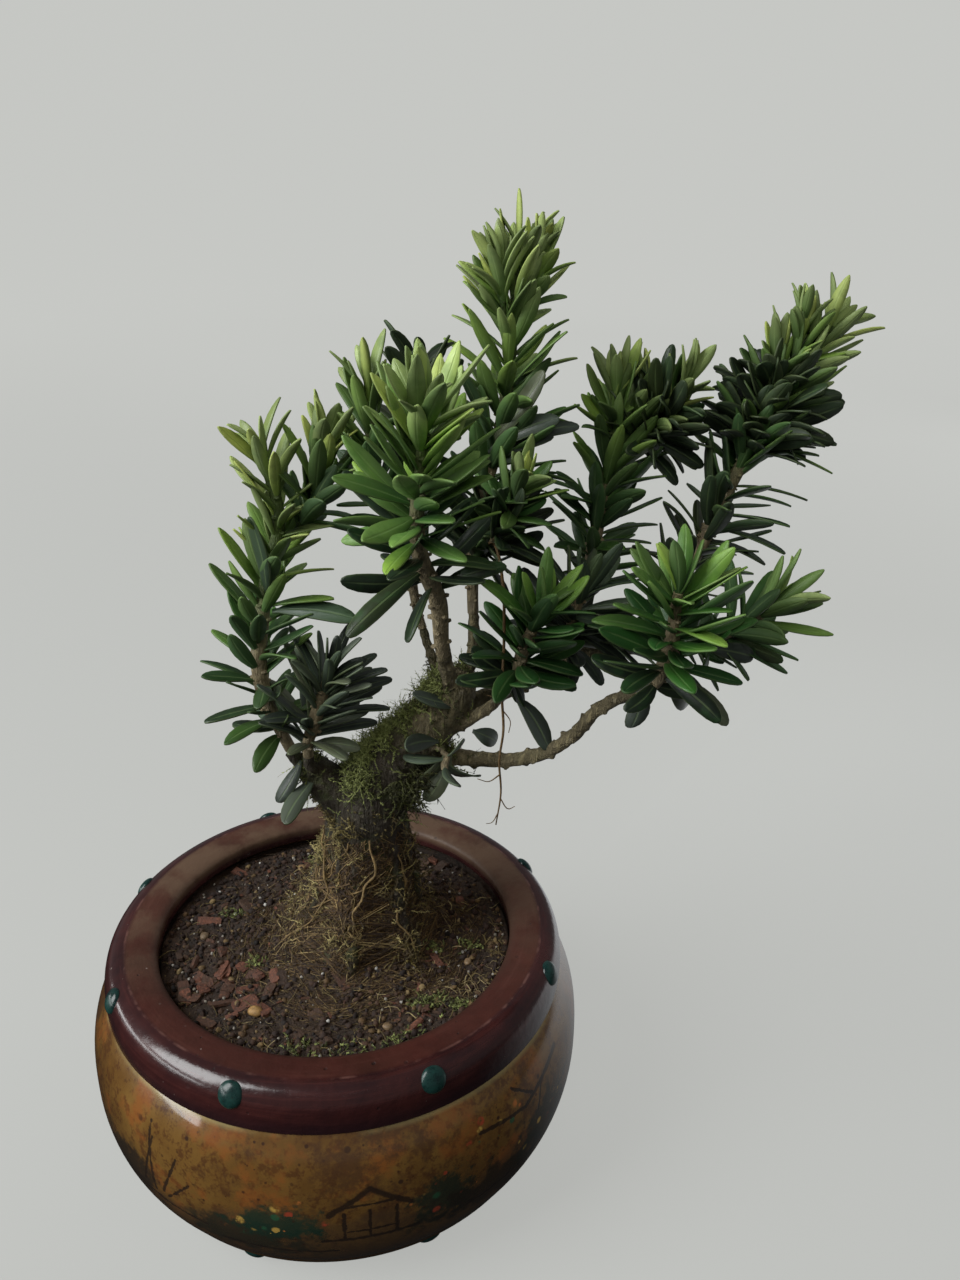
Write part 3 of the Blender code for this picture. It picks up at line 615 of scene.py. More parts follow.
painting = {
    # brush lines in millimetres round the belly and up it: start, end and half width
    "lines": (
        ((-52, 19.5), (-30, 18.6), 0.30),
        ((-27, 15.6), (-3, 15.0), 0.28),
        ((24, 18.2), (50, 18.8), 0.30),
        ((-4.4, 26.8), (3.5, 32.4), 0.62),     # roof of a small open hut
        ((3.5, 32.4), (11.4, 26.8), 0.62),
        ((-2.4, 28.6), (9.4, 28.6), 0.34),
        ((-1.6, 26.8), (-1.6, 19.6), 0.36),
        ((3.4, 27.0), (3.4, 19.6), 0.26),
        ((8.6, 26.8), (8.6, 19.6), 0.36),
        ((-6, 19.2), (13, 19.2), 0.42),
        ((-1.6, 21.6), (8.6, 21.6), 0.22),
        ((-46, 22), (-42.5, 35), 0.32),        # reeds
        ((-43, 21), (-43.4, 38), 0.34),
        ((-40.5, 22), (-36, 33), 0.30),
        ((-39.4, 21), (-33, 28), 0.26),
        ((54, 38), (40, 33.5), 0.56),          # a bough of blossom
        ((40, 33.5), (27, 35.4), 0.40),
        ((43, 34.6), (37, 39.4), 0.30),
        ((46, 35.6), (44, 29), 0.28),
    ),
    # blots: centre, size and colour
    "blots": (
        ((-21, 18.5), (14, 5.0), (0.018, 0.018, 0.012)),
        ((19, 23.0), (7.0, 6.0), (0.011, 0.022, 0.015)),
        ((31, 20.0), (16, 5.0), (0.020, 0.015, 0.010)),
        ((-15, 24.4), (8.0, 4.4), (0.010, 0.028, 0.018)),
        ((-52, 21.0), (9, 6.0), (0.018, 0.014, 0.010)),
        ((48, 25.0), (9, 7.0), (0.014, 0.016, 0.010)),
    ),
    "blossoms": (((34, 36.2), (10, 4.2)), ((-15, 24.6), (9, 4.6)), ((20, 24.4), (8, 5.4)), ((45, 28), (8, 5))),
}


def ochreGlaze():
    material, tree, shader, where = newMaterial("ochreGlaze", 0.3, Coat_Weight=0.85, Coat_Roughness=0.09, Specular_IOR_Level=0.2)
    around = useGroup(tree, roundGroup, {"Vector": where})
    cloud = useGroup(tree, mottleGroup, {"Vector": where, "Scale": 48.0, "Contrast": 2.4})["Value"]
    grainy = useGroup(tree, mottleGroup, {"Vector": where, "Scale": 420.0, "Contrast": 3.2})["Value"]
    color = mixColor(tree, cloud, (0.080, 0.036, 0.010), (0.168, 0.090, 0.021))
    color = mixColor(tree, step(tree, grainy, 0.42, 0.88, (0.0, 0.85)), color, (0.064, 0.026, 0.009))
    rust = step(tree, noiseValue(tree, where, 95.0, 4.0, 0.6), 0.50, 0.66, (0.0, 0.75))
    color = mixColor(tree, rust, color, (0.190, 0.062, 0.014))
    stain = step(tree, noiseValue(tree, where, 62.0, 6.0, 0.78), 0.48, 0.62, (0.0, 0.85))
    color = mixColor(tree, stain, color, (0.060, 0.028, 0.012))
    low = step(tree, around["Height"], 9 * mm, 27 * mm, (0.68, 0.0))
    color = mixColor(tree, low, color, (0.050, 0.025, 0.012))
    # the landscape, which repeats on the back
    half = math.pi / 2
    folded = addNode(tree, "Math", {0: around["Azimuth"], 1: half, 2: -half}, operation="WRAP").outputs[0]
    flat = addNode(
        tree,
        "CombineXYZ",
        {0: compute(tree, "MULTIPLY", folded, pot["bellyRadius"] / mm), 1: compute(tree, "DIVIDE", around["Height"], mm)},
    ).outputs[0]
    ragged = compute(tree, "MULTIPLY", compute(tree, "SUBTRACT", noiseValue(tree, where, 700.0, 3.0), 0.5), 1.1)
    blotted = compute(tree, "MULTIPLY", compute(tree, "SUBTRACT", noiseValue(tree, where, 240.0, 5.0, 0.7), 0.5), 3.4)
    wash = step(
        tree, compute(tree, "ADD", around["Height"], compute(tree, "MULTIPLY", noiseValue(tree, where, 38.0, 2.0), 24 * mm)),
        36 * mm, 39 * mm, (0.5, 0.0),
    )
    color = mixColor(tree, wash, color, (0.060, 0.036, 0.018))
    for centre, size, tint in painting["blots"]:
        mask = blotMask(tree, flat, centre, size, blotted)
        color = mixColor(tree, compute(tree, "MULTIPLY", mask, 0.86), color, tint)
    dots = useGroup(tree, spotGroup, {"Vector": where, "Scale": 420.0, "Size": 0.62})
    petals = addNode(tree, "ValToRGB", {"Fac": dots["Random"]})
    petals.color_ramp.interpolation = "CONSTANT"
    tints = ((0.0, (0.30, 0.045, 0.020)), (0.35, (0.40, 0.13, 0.030)), (0.62, (0.020, 0.075, 0.035)), (0.82, (0.45, 0.28, 0.06)))
    elements = petals.color_ramp.elements
    elements[1].position = tints[-1][0]
    for place, _ in tints[1:-1]:
        elements.new(place)
    for element, (_, tint) in zip(elements, tints):
        element.color = (*tint, 1)
    for centre, size in painting["blossoms"]:
        mask = compute(tree, "MULTIPLY", dots["Mask"], blotMask(tree, flat, centre, size, blotted, 0.2))
        color = mixColor(tree, compute(tree, "MULTIPLY", mask, 0.85), color, petals.outputs[0])
    ink = None
    for start, end, width in painting["lines"]:
        mask = lineMask(tree, flat, start, end, width, ragged)
        ink = mask if ink is None else compute(tree, "MAXIMUM", ink, mask)
    color = mixColor(tree, compute(tree, "MULTIPLY", ink, 0.9), color, (0.018, 0.011, 0.008))
    # iron specks in the glaze, then the painted highlight of the belly's top edge: a pale line under the rim band
    specks = useGroup(tree, spotGroup, {"Vector": where, "Scale": 640.0, "Size": 0.34})["Mask"]
    thick = step(tree, noiseValue(tree, where, 85.0, 3.0), 0.38, 0.62, (0.15, 0.9))
    color = mixColor(tree, compute(tree, "MULTIPLY", specks, thick), color, (0.032, 0.014, 0.008))
    splashes = useGroup(tree, spotGroup, {"Vector": where, "Scale": 300.0, "Size": 0.30})["Mask"]
    gathered = step(tree, noiseValue(tree, where, 42.0, 3.0), 0.48, 0.64, (0.0, 0.85))
    color = mixColor(tree, compute(tree, "MULTIPLY", splashes, gathered), color, (0.026, 0.013, 0.009))
    # painted highlight along the belly's top edge, just under the band
    edge = compute(tree, "SUBTRACT", pot["bandEdge"] - 0.2 * mm, around["Height"])
    pale = step(tree, edge, 0.2 * mm, 1.3 * mm, (0.65, 0.0))
    color = mixColor(tree, compute(tree, "MULTIPLY", pale, step(tree, cloud, 0.2, 0.7)), color, (0.26, 0.21, 0.085))
    tree.links.new(color, shader.inputs["Base Color"])
    tree.links.new(step(tree, cloud, 0.0, 1.0, (0.22, 0.36)), shader.inputs["Roughness"])
    height = compute(tree, "ADD", noiseValue(tree, where, 90.0, 2.0), compute(tree, "MULTIPLY", grainy, 0.10))
    height = compute(tree, "SUBTRACT", height, compute(tree, "MULTIPLY", ink, 0.35))
    addBump(tree, shader, height, 0.22 * mm, 0.5)
    return material


def greenGlaze():
    material, tree, shader, where = newMaterial("greenGlaze", 0.3, Coat_Weight=0.25, Coat_Roughness=0.2, Specular_IOR_Level=0.3)
    cloud = useGroup(tree, mottleGroup, {"Vector": where, "Scale": 420.0, "Contrast": 2.8})["Value"]
    color = mixColor(tree, cloud, (0.004, 0.012, 0.012), (0.010, 0.044, 0.036))
    specks = useGroup(tree, spotGroup, {"Vector": where, "Scale": 1200.0, "Size": 0.4})["Mask"]
    color = mixColor(tree, compute(tree, "MULTIPLY", specks, 0.6), color, (0.010, 0.018, 0.014))
    tree.links.new(color, shader.inputs["Base Color"])
    tree.links.new(step(tree, cloud, 0.0, 1.0, (0.2, 0.42)), shader.inputs["Roughness"])
    addBump(tree, shader, noiseValue(tree, where, 500.0, 2.0), 0.15 * mm, 0.4)
    return material


def bareClay():
    material, tree, shader, where = newMaterial("bareClay", 0.85)
    cloud = useGroup(tree, mottleGroup, {"Vector": where, "Scale": 150.0, "Contrast": 2.0})["Value"]
    color = mixColor(tree, cloud, (0.20, 0.085, 0.045), (0.34, 0.165, 0.095))
    specks = useGroup(tree, spotGroup, {"Vector": where, "Scale": 900.0, "Size": 0.4})["Mask"]
    color = mixColor(tree, compute(tree, "MULTIPLY", specks, 0.7), color, (0.07, 0.035, 0.022))
    tree.links.new(color, shader.inputs["Base Color"])
    tree.links.new(step(tree, cloud, 0.0, 1.0, (0.75, 0.95)), shader.inputs["Roughness"])
    addBump(tree, shader, noiseValue(tree, where, 1400.0, 4.0), 0.12 * mm, 0.7)
    return material


def makePot():
    inside = wallProfile(0)
    lip = arc((pot["ridgeRadius"], pot["height"]), (pot["openingRadius"], pot["height"]), inside[0], 10)
    shape = turned(outerProfile() + lip + inside[1:], pot["segments"])
    body = bpy.data.objects.new("potBody", meshOf(shape))
    bpy.context.scene.collection.objects.link(body)
    cutters = []
    for number in range(pot["drains"]):
        hole = bmesh.new()
        bmesh.ops.create_cone(
            hole, cap_ends=True, segments=32, radius1=pot["drainRadius"], radius2=pot["drainRadius"], depth=4 * pot["floor"]
        )
        angle = math.tau * number / pot["drains"]
        offset = (pot["drainCircle"] * math.cos(angle), pot["drainCircle"] * math.sin(angle), 0)
        bmesh.ops.translate(hole, vec=offset, verts=hole.verts)
        cutter = bpy.data.objects.new("drain", meshOf(hole))
        bpy.context.scene.collection.objects.link(cutter)
        cut = body.modifiers.new("drain", "BOOLEAN")
        cut.operation = "DIFFERENCE"
        cut.object = cutter
        cutters.append(cutter)
    mesh = evaluated(body)
    for cutter in cutters:
        bpy.data.objects.remove(cutter)
    materials = [bareClay(), ochreGlaze(), burgundyGlaze()]
    # glaze runs a little way down inside the lip, and stops above the foot's flat base
    for face in mesh.polygons:
        radius, height = math.hypot(face.center.x, face.center.y), face.center.z
        onLip = height > pot["height"] - pot["neckDrop"]
        outside = radius > bellyRadius(min(max(height, 0), pot["bandEdge"])) - pot["wall"] / 2
        banded = height > pot["bandEdge"] - pot["edgeRound"] * 0.9 or height < pot["footBand"]
        if height > 0.01 * mm and (outside or onLip):
            face.material_index = 2 if banded else 1
        else:
            face.material_index = 0
    indices = [face.material_index for face in mesh.polygons]
    body = finishPiece("glazedPot", mesh, materials, "glaze", ["pot"], 40)
    body.data.polygons.foreach_set("material_index", indices)


def makeStuds():
    shape = bmesh.new()
    template = bmesh.new()
    bmesh.ops.create_uvsphere(template, u_segments=28, v_segments=16, radius=pot["studRadius"])
    bmesh.ops.scale(template, vec=(1, 1, pot["studRise"]), verts=template.verts)
    dome = meshOf(template, "stud")
    draw = random.Random(5)
    for radius, height, tilt in pot["studRings"]:
        for number in range(pot["studs"]):
            azimuth = pot["studTurn"] + math.tau * number / pot["studs"]
            place = Matrix.Translation((radius * math.sin(azimuth), -radius * math.cos(azimuth), height))
            place = place @ Matrix.Rotation(azimuth, 4, "Z") @ Matrix.Rotation(tilt, 4, "X")
            uneven = Matrix.Diagonal((draw.uniform(0.95, 1.0), draw.uniform(0.94, 1.0), draw.uniform(0.9, 1.0), 1))
            stamp(shape, dome, place @ uneven)
    bpy.data.meshes.remove(dome)
    finishPiece("potStuds", meshOf(shape), [greenGlaze()], "glaze")


makePot()
makeStuds()
print("pot made")


# The soil and what lies on it

soil = {
    "edgeHeight": 47.6 * mm,
    "tilt": 1.3 * mm,
    "lip": 2.2 * mm,
    "moundHeight": 4.6 * mm,
    "moundTop": 9 * mm,
    "moundReach": 12 * mm,
    "rootCentre": (4.6 * mm, 0.0),
    "edge": pot["openingRadius"] - 0.3 * mm,
    "rings": 62,
    "segments": 200,
    # scale, height and layer of each noise that makes the top uneven
    "waves": ((190, 0.55 * mm, 0.3), (430, 0.35 * mm, 0.8), (900, 0.30 * mm, 0.1), (2100, 0.16 * mm, 0.5)),
    "crumbs": 4200,
    "litter": 7500,
    "grit": 190,
    "chips": 60,
    "flakes": 240,
}


def soilHeight(x, y):
    away = max(math.hypot(x - soil["rootCentre"][0], y - soil["rootCentre"][1]) - soil["moundTop"], 0)
    mound = soil["moundHeight"] * math.exp(-((away / soil["moundReach"]) ** 2))
    rough = sum(size * noise.noise(Vector((x, y, layer)) * scale) for scale, size, layer in soil["waves"])
    return soil["edgeHeight"] - soil["tilt"] * y / pot["openingRadius"] + mound + rough


def soilMaterial(name, dark, light, pale, amount):
    material, tree, shader, where = newMaterial(name, 0.9)
    cloud = useGroup(tree, mottleGroup, {"Vector": where, "Scale": 130.0, "Contrast": 2.6})["Value"]
    fine = useGroup(tree, mottleGroup, {"Vector": where, "Scale": 1300.0, "Contrast": 3.0})["Value"]
    color = mixColor(tree, cloud, dark, light)
    color = mixColor(tree, compute(tree, "MULTIPLY", fine, 0.5), color, dark)
    specks = useGroup(tree, spotGroup, {"Vector": where, "Scale": 1500.0, "Size": 0.45})
    color = mixColor(tree, compute(tree, "MULTIPLY", specks["Mask"], amount), color, pale)
    tree.links.new(color, shader.inputs["Base Color"])
    tree.links.new(step(tree, cloud, 0.0, 1.0, (0.7, 0.97)), shader.inputs["Roughness"])
    addBump(tree, shader, fine, 0.3 * mm, 0.9)
    return material


def makeSoil():
    edge = soil["edge"]
    tops = [edge * number / soil["rings"] for number in range(soil["rings"] + 1)]
    profile = [(radius, soil["edgeHeight"]) for radius in tops]
    profile += [(edge, soil["edgeHeight"] - soil["lip"])] + wallProfile(0.3 * mm)[2:]
    shape = turned(profile, soil["segments"])
    for vert in shape.verts:
        if vert.co.z > soil["edgeHeight"] - 0.4 * mm:
            vert.co.z = soilHeight(vert.co.x, vert.co.y)
    earth = soilMaterial("dampSoil", (0.010, 0.006, 0.004), (0.062, 0.034, 0.018), (0.16, 0.11, 0.07), 0.35)
    finishPiece("soilFill", meshOf(shape), [earth], "soil", ["soil"])


def pebbleTemplates(count, jitter, draw, level=1):
    # small lumps, each of them pulled out of round in its own way
    made = []
    for number in range(count):
        shape = bmesh.new()
        bmesh.ops.create_icosphere(shape, subdivisions=level, radius=1)
        for vert in shape.verts:
            vert.co *= 1 + draw.uniform(-jitter, jitter)
        mesh = meshOf(shape, "lump")
        markMesh(mesh, "tone")
        made.append(mesh)
    return made


def spin3(draw):
    return Matrix.Rotation(draw.uniform(0, math.tau), 4, Vector((draw.gauss(0, 1), draw.gauss(0, 1), draw.gauss(0, 1))).normalized())


def onSoil(draw, inner=12 * mm, outer=None):
    # a random place on the soil, between the trunk's foot and the pot
    outer = outer or soil["edge"] - 0.6 * mm
    while True:
        x, y = draw.uniform(-outer, outer), draw.uniform(-outer, outer)
        if math.hypot(x, y) < outer and math.hypot(x - soil["rootCentre"][0], y) > inner:
            return x, y


def toneMaterial(name, stops, roughness, fibre=0.0):
    # loose matter whose pieces differ in tone
    material, tree, shader, where = newMaterial(name, roughness)
    tone = addNode(tree, "Attribute", attribute_name="tone").outputs["Fac"]
    ramp = addNode(tree, "ValToRGB", {"Fac": tone})
    elements = ramp.color_ramp.elements
    elements[0].position, elements[1].position = stops[0][0], stops[-1][0]
    for place, _ in stops[1:-1]:
        elements.new(place)
    for element, (_, tint) in zip(elements, stops):
        element.color = (*tint, 1)
    fine = useGroup(tree, mottleGroup, {"Vector": where, "Scale": 1500.0, "Contrast": 2.4})["Value"]
    color = mixColor(tree, step(tree, fine, 0.0, 1.0, (0.55, 0.0)), ramp.outputs[0], (0.010, 0.007, 0.005))
    height = fine
    if fibre:
        strands = useGroup(tree, fibreGroup, {"Vector": where, "Scale": 900.0, "Stretch": 5.0})["Height"]
        color = mixColor(tree, compute(tree, "MULTIPLY", strands, fibre), color, (0.022, 0.012, 0.008))
        height = compute(tree, "SUBTRACT", fine, compute(tree, "MULTIPLY", strands, 0.6))
    tree.links.new(color, shader.inputs["Base Color"])
    tree.links.new(step(tree, fine, 0.0, 1.0, (roughness - 0.15, roughness)), shader.inputs["Roughness"])
    addBump(tree, shader, height, 0.15 * mm, 0.8)
    return material


def golden(x, y):
    # where the soil is covered with golden dead fibre: in patches, most along the rim in front and at the right
    rim = min(max((math.hypot(x, y) / mm - 20) / 14, 0), 1)
    front = max(0, math.sin(math.atan2(-y, x) + 0.45))
    patch = min(max(0.5 + 1.6 * noise.noise(Vector((x, y, 0.7)) * 95), 0), 1)
    return rim * front * patch


def makeCrumbs():
    draw = random.Random(11)
    lumps = pebbleTemplates(7, 0.28, draw)
    shape = bmesh.new()
    for number in range(soil["crumbs"]):
        x, y = onSoil(draw)
        size = 0.22 * mm + 0.75 * mm * draw.random() ** 2.6
        place = Matrix.Translation((x, y, soilHeight(x, y) + size * draw.uniform(-0.1, 0.5)))
        grow = Matrix.Diagonal((size, size * draw.uniform(0.6, 1), size * draw.uniform(0.5, 0.9), 1))
        tone = min(max(draw.gauss(0.42 + 0.34 * golden(x, y), 0.24), 0), 1)
        stamp(shape, draw.choice(lumps), place @ spin3(draw) @ grow, tone=tone)
    stops = (
        (0.0, (0.007, 0.004, 0.003)), (0.45, (0.026, 0.012, 0.008)), (0.72, (0.068, 0.032, 0.015)),
        (0.9, (0.150, 0.092, 0.034)), (1.0, (0.24, 0.165, 0.07)),
    )
    finishPiece("soilCrumbs", meshOf(shape), [toneMaterial("crumbs", stops, 0.92)], "soil")
    shape = bmesh.new()
    for number in range(soil["grit"]):
        x, y = onSoil(draw)
        size = draw.uniform(0.16, 0.42) * mm
        place = Matrix.Translation((x, y, soilHeight(x, y) + size))
        stamp(shape, draw.choice(lumps), place @ spin3(draw) @ Matrix.Scale(size, 4), tone=draw.random())
    stops = ((0.0, (0.20, 0.17, 0.13)), (0.6, (0.36, 0.33, 0.28)), (1.0, (0.62, 0.60, 0.55)))
    finishPiece("paleGrit", meshOf(shape), [toneMaterial("grit", stops, 0.6)], "soil")


def chipTemplate(draw):
    shape = bmesh.new()
    bmesh.ops.create_cube(shape, size=1)
    bmesh.ops.bevel(shape, geom=shape.edges[:], offset=0.12, segments=1, affect="EDGES", profile=0.5, material=-1)
    for vert in shape.verts:
        vert.co += Vector((draw.uniform(-0.1, 0.1), draw.uniform(-0.13, 0.13), draw.uniform(-0.12, 0.12)))
    mesh = meshOf(shape, "chip")
    markMesh(mesh, "tone")
    return mesh


def makeChips():
    draw = random.Random(23)
    templates = [chipTemplate(draw) for number in range(6)]
    shape = bmesh.new()
    for number in range(soil["chips"] + soil["flakes"]):
        small = number >= soil["chips"]
        if number < 26:
            # most of the large red-brown chips lie at the left, in front of the trunk
            x, y = draw.gauss(-26, 5.0) * mm, draw.gauss(-13, 5.0) * mm
        else:
            x, y = onSoil(draw)
        if math.hypot(x, y) > soil["edge"] - 2 * mm:
            continue
        size = Vector((draw.uniform(2.2, 5.2), draw.uniform(1.2, 2.4), draw.uniform(0.5, 1.0))) * mm
        if small:
            size = Vector((draw.uniform(0.8, 2.2), draw.uniform(0.3, 0.8), draw.uniform(0.15, 0.35))) * mm
        place = Matrix.Translation((x, y, soilHeight(x, y) + size.z * 0.35))
        turn = Matrix.Rotation(draw.uniform(0, math.tau), 4, "Z") @ Matrix.Rotation(draw.gauss(0, 0.25), 4, "X")
        turn = turn @ Matrix.Rotation(draw.gauss(0, 0.2), 4, "Y")
        tone = draw.uniform(0.55, 1) if number < 26 else draw.random()
        stamp(shape, draw.choice(templates), place @ turn @ Matrix.Diagonal((*size, 1)), tone=tone)
    stops = ((0.0, (0.030, 0.017, 0.010)), (0.5, (0.085, 0.042, 0.022)), (0.8, (0.17, 0.060, 0.033)), (1.0, (0.24, 0.085, 0.045)))
    finishPiece("barkChips", meshOf(shape), [toneMaterial("chips", stops, 0.85, 0.5)], "soil", crease=45)
    shape = bmesh.new()
    lumps = pebbleTemplates(3, 0.10, draw, 2)
    for x, y, size, tone in ((-17.7, -22.4, 1.6, 0.9), (9, -31, 1.1, 0.5), (28, -14, 1.0, 0.6), (-30, 4, 1.2, 0.3), (22, 20, 1.3, 0.4), (-8, 28, 1.2, 0.7)):
        place = Matrix.Translation((x * mm, y * mm, soilHeight(x * mm, y * mm) + 0.35 * size * mm))
        grow = Matrix.Diagonal((size * mm, 0.85 * size * mm, 0.6 * size * mm, 1))
        stamp(shape, draw.choice(lumps), place @ Matrix.Rotation(draw.uniform(0, 6), 4, "Z") @ grow, tone=tone)
    stops = ((0.0, (0.10, 0.075, 0.05)), (0.6, (0.22, 0.14, 0.07)), (1.0, (0.46, 0.26, 0.08)))
    finishPiece("pebbles", meshOf(shape), [toneMaterial("pebbleStone", stops, 0.55)], "soil")


makeSoil()
makeCrumbs()
makeChips()
print("soil made")


# The trunk and its roots

trunk = {
    # height, radius in millimetres of the root cone, which leans to +X as it rises
    "cone": ((33, 8.5), (42, 12.5), (49, 16.6), (53, 16.2), (58, 13.6), (64, 11.6), (71, 10.4), (77, 9.3), (81, 7.6)),
    "lean": 3.4,
    "lobes": 7,
    "lobeDepth": 0.11,
    "soilLevel": 50,
    "voxel": 0.46 * mm,
    "limbs": (
        (
            (7.4, 0, 75, 9.4), (8.6, 0, 84, 8.6), (13.6, -0.2, 93, 7.0), (19.5, -0.6, 100, 6.2),
            (24, -1.4, 106, 5.4), (27, -2, 111, 4.4), (28.4, -2.2, 114.2, 2.6),
        ),
        ((6, 0, 80, 5.4), (1, 0, 87, 4.6), (-3, 0.6, 91.5, 3.7), (-5.4, 1.0, 94, 2.4)),
    ),
    "branches": {
        "left_tall": ((-2.6, 0, 90.5, 2.4), (-6, 0, 94, 2.2), (-7.8, 0, 98, 1.9)),
        "left_low": ((-2.6, -1, 90.5, 2.2), (-3.8, -2.6, 94.5, 1.9), (-4, -3.4, 98, 1.7)),
        "front_top": ((26, -2, 108, 3.0), (25, -4.6, 114, 2.3), (23.4, -8.6, 122, 2.0)),
        "back_left": ((25, 0, 107, 2.2), (22.6, 2.4, 115, 1.7), (20.6, 4.2, 122, 1.4)),
        "centre_tall": ((28, -1, 109, 2.6), (31, 2, 117, 2.1), (31.2, 4, 125, 1.8)),
        "front_low": ((22, -2, 99, 2.6), (29, -4.4, 104, 2.1), (35, -6.6, 109.6, 1.7), (37, -9, 114.4, 1.5)),
        "front_right": (
            (20, -2, 95, 3.0), (29, -3.6, 94.6, 2.5), (36, -6, 94.8, 2.2), (42.7, -10, 97.8, 2.1),
            (49, -15, 105, 2.0), (53, -19, 113, 1.9), (60, -23, 118.6, 1.7),
        ),
        "right_tall": (
            (25, -1, 105, 3.4), (37, 2.6, 106.4, 2.7), (50, 6.4, 110.4, 2.4), (64, 7.6, 114.8, 2.0),
            (71, 8.2, 120.4, 1.7),
        ),
        "low_twig": ((20, -2, 98, 1.4), (22.6, -6.6, 99.4, 1.1), (23.4, -8.8, 99.2, 0.9)),
        "centre_low": ((42, 4, 108, 1.7), (46, 1.4, 112, 1.4), (49, -0.4, 117.4, 1.2)),
        "right_mid": ((48, 6.2, 110, 2.0), (53, 9.6, 116, 1.7), (56, 12.4, 122, 1.5)),
        "right_low": ((58, 7, 112.8, 1.7), (66.4, 2, 115, 1.5), (73, -3, 118, 1.4)),
    },
    # larger pale roots on the foot: turn about its axis in degrees, height and radius in millimetres
    "paleRoots": (
        ((-92, 79.4, 0.34), (-84, 72.6, 0.46), (-94, 68.4, 0.42), (-104, 62, 0.36), (-92, 56, 0.28), (-101, 50.6, 0.2)),
        ((-170, 78, 0.3), (-150, 72, 0.4), (-138, 66, 0.34), (-146, 59, 0.3), (-162, 53, 0.24), (-168, 49, 0.2)),
        ((-160, 59.8, 0.22), (-125, 65.4, 0.24), (-91, 68.5, 0.22), (-70, 69.5, 0.16)),
        ((-52, 76, 0.3), (-44, 69, 0.42), (-60, 61, 0.36), (-50, 54, 0.26), (-62, 49, 0.2)),
        ((40, 76, 0.35), (52, 68, 0.42), (46, 60, 0.36), (58, 52, 0.3)),
        ((130, 77, 0.35), (118, 68, 0.44), (126, 59, 0.36), (120, 51, 0.26)),
    ),
    "scarSpacing": 1.35 * mm,
    "slimness": 0.66,     # fine bark stands a little inside the solid's round branches
    "stouter": {"front_top": 0.76, "front_right": 0.72, "right_tall": 0.74},
}


def coneRadius(height, angle):
    # radius of the root cone in metres at a height in millimetres, with its lobes
    rows = trunk["cone"]
    radius = rows[-1][1]
    for (low, a), (high, b) in zip(rows, rows[1:]):
        if height <= high:
            part = max(height - low, 0) / (high - low)
            radius = a + (b - a) * part * part * (3 - 2 * part)
            break
    lift = min(max((height - trunk["soilLevel"]) / (rows[-1][0] - trunk["soilLevel"]), 0), 1)
    lobes = trunk["lobeDepth"] * (1 - lift) ** 1.5
    wave = math.cos(trunk["lobes"] * angle + 0.8 * lift) + 0.6 * math.cos(3 * angle + 1.1)
    return radius * mm * (1 + lobes * wave)


def coneCentre(height):
    lift = min(max((height - trunk["soilLevel"]) / (trunk["cone"][-1][0] - trunk["soilLevel"]), 0), 1)
    return Vector((soil["rootCentre"][0] + trunk["lean"] * mm * lift ** 0.8, soil["rootCentre"][1], height * mm))


def barkMaterial():
    material, tree, shader, where = newMaterial("bark", 0.9)
    cloud = useGroup(tree, mottleGroup, {"Vector": where, "Scale": 170.0, "Contrast": 2.4})["Value"]
    fine = useGroup(tree, mottleGroup, {"Vector": where, "Scale": 1100.0, "Contrast": 3.0})["Value"]
    parts = addNode(tree, "SeparateXYZ", {0: where}).outputs
    # the foot is redder and fibrous, the limbs dark under the moss, the outer branches olive and grey
    foot = step(tree, parts[2], 62 * mm, 84 * mm, (1.0, 0.0))
    outer = step(tree, compute(tree, "ADD", parts[0], parts[2]), 108 * mm, 128 * mm)
    limb = mixColor(tree, cloud, (0.013, 0.011, 0.007), (0.060, 0.048, 0.026))
    rooty = mixColor(tree, cloud, (0.012, 0.008, 0.004), (0.062, 0.044, 0.018))
    twig = mixColor(tree, cloud, (0.115, 0.096, 0.046), (0.345, 0.285, 0.152))
    color = mixColor(tree, foot, limb, rooty)
    color = mixColor(tree, outer, color, twig)
    # painted shade on the right side of the foot, below the main limb
    footShade = compute(tree, "MULTIPLY", step(tree, parts[0], 6 * mm, 15 * mm, (0.0, 0.7)), step(tree, parts[2], 78 * mm, 92 * mm, (1.0, 0.0)))
    color = mixColor(tree, footShade, color, (0.012, 0.007, 0.006))
    strands = useGroup(tree, fibreGroup, {"Vector": where, "Scale": 620.0, "Stretch": 7.0})["Height"]
    color = mixColor(tree, compute(tree, "MULTIPLY", strands, 0.55), color, (0.018, 0.012, 0.008))
    color = mixColor(tree, compute(tree, "MULTIPLY", fine, 0.35), color, (0.030, 0.022, 0.014))
    algae = step(tree, noiseValue(tree, where, 210.0, 4.0), 0.48, 0.66, (0.0, 0.6))
    algae = compute(tree, "MULTIPLY", algae, compute(tree, "SUBTRACT", 1.0, compute(tree, "MULTIPLY", outer, 0.7)))
    color = mixColor(tree, algae, color, (0.050, 0.062, 0.018))
    pale = useGroup(tree, spotGroup, {"Vector": where, "Scale": 620.0, "Size": 0.42})["Mask"]
    color = mixColor(tree, compute(tree, "MULTIPLY", pale, 0.35), color, (0.23, 0.20, 0.14))
    tree.links.new(color, shader.inputs["Base Color"])
    tree.links.new(step(tree, fine, 0.0, 1.0, (0.72, 0.95)), shader.inputs["Roughness"])
    height = compute(tree, "ADD", fine, compute(tree, "MULTIPLY", strands, -0.8))
    addBump(tree, shader, height, 0.35 * mm, 0.9)
    return material


def slimmed(route, name=""):
    factor = trunk["stouter"].get(name, trunk["slimness"])
    return [(place, radius * factor) for place, radius in route]


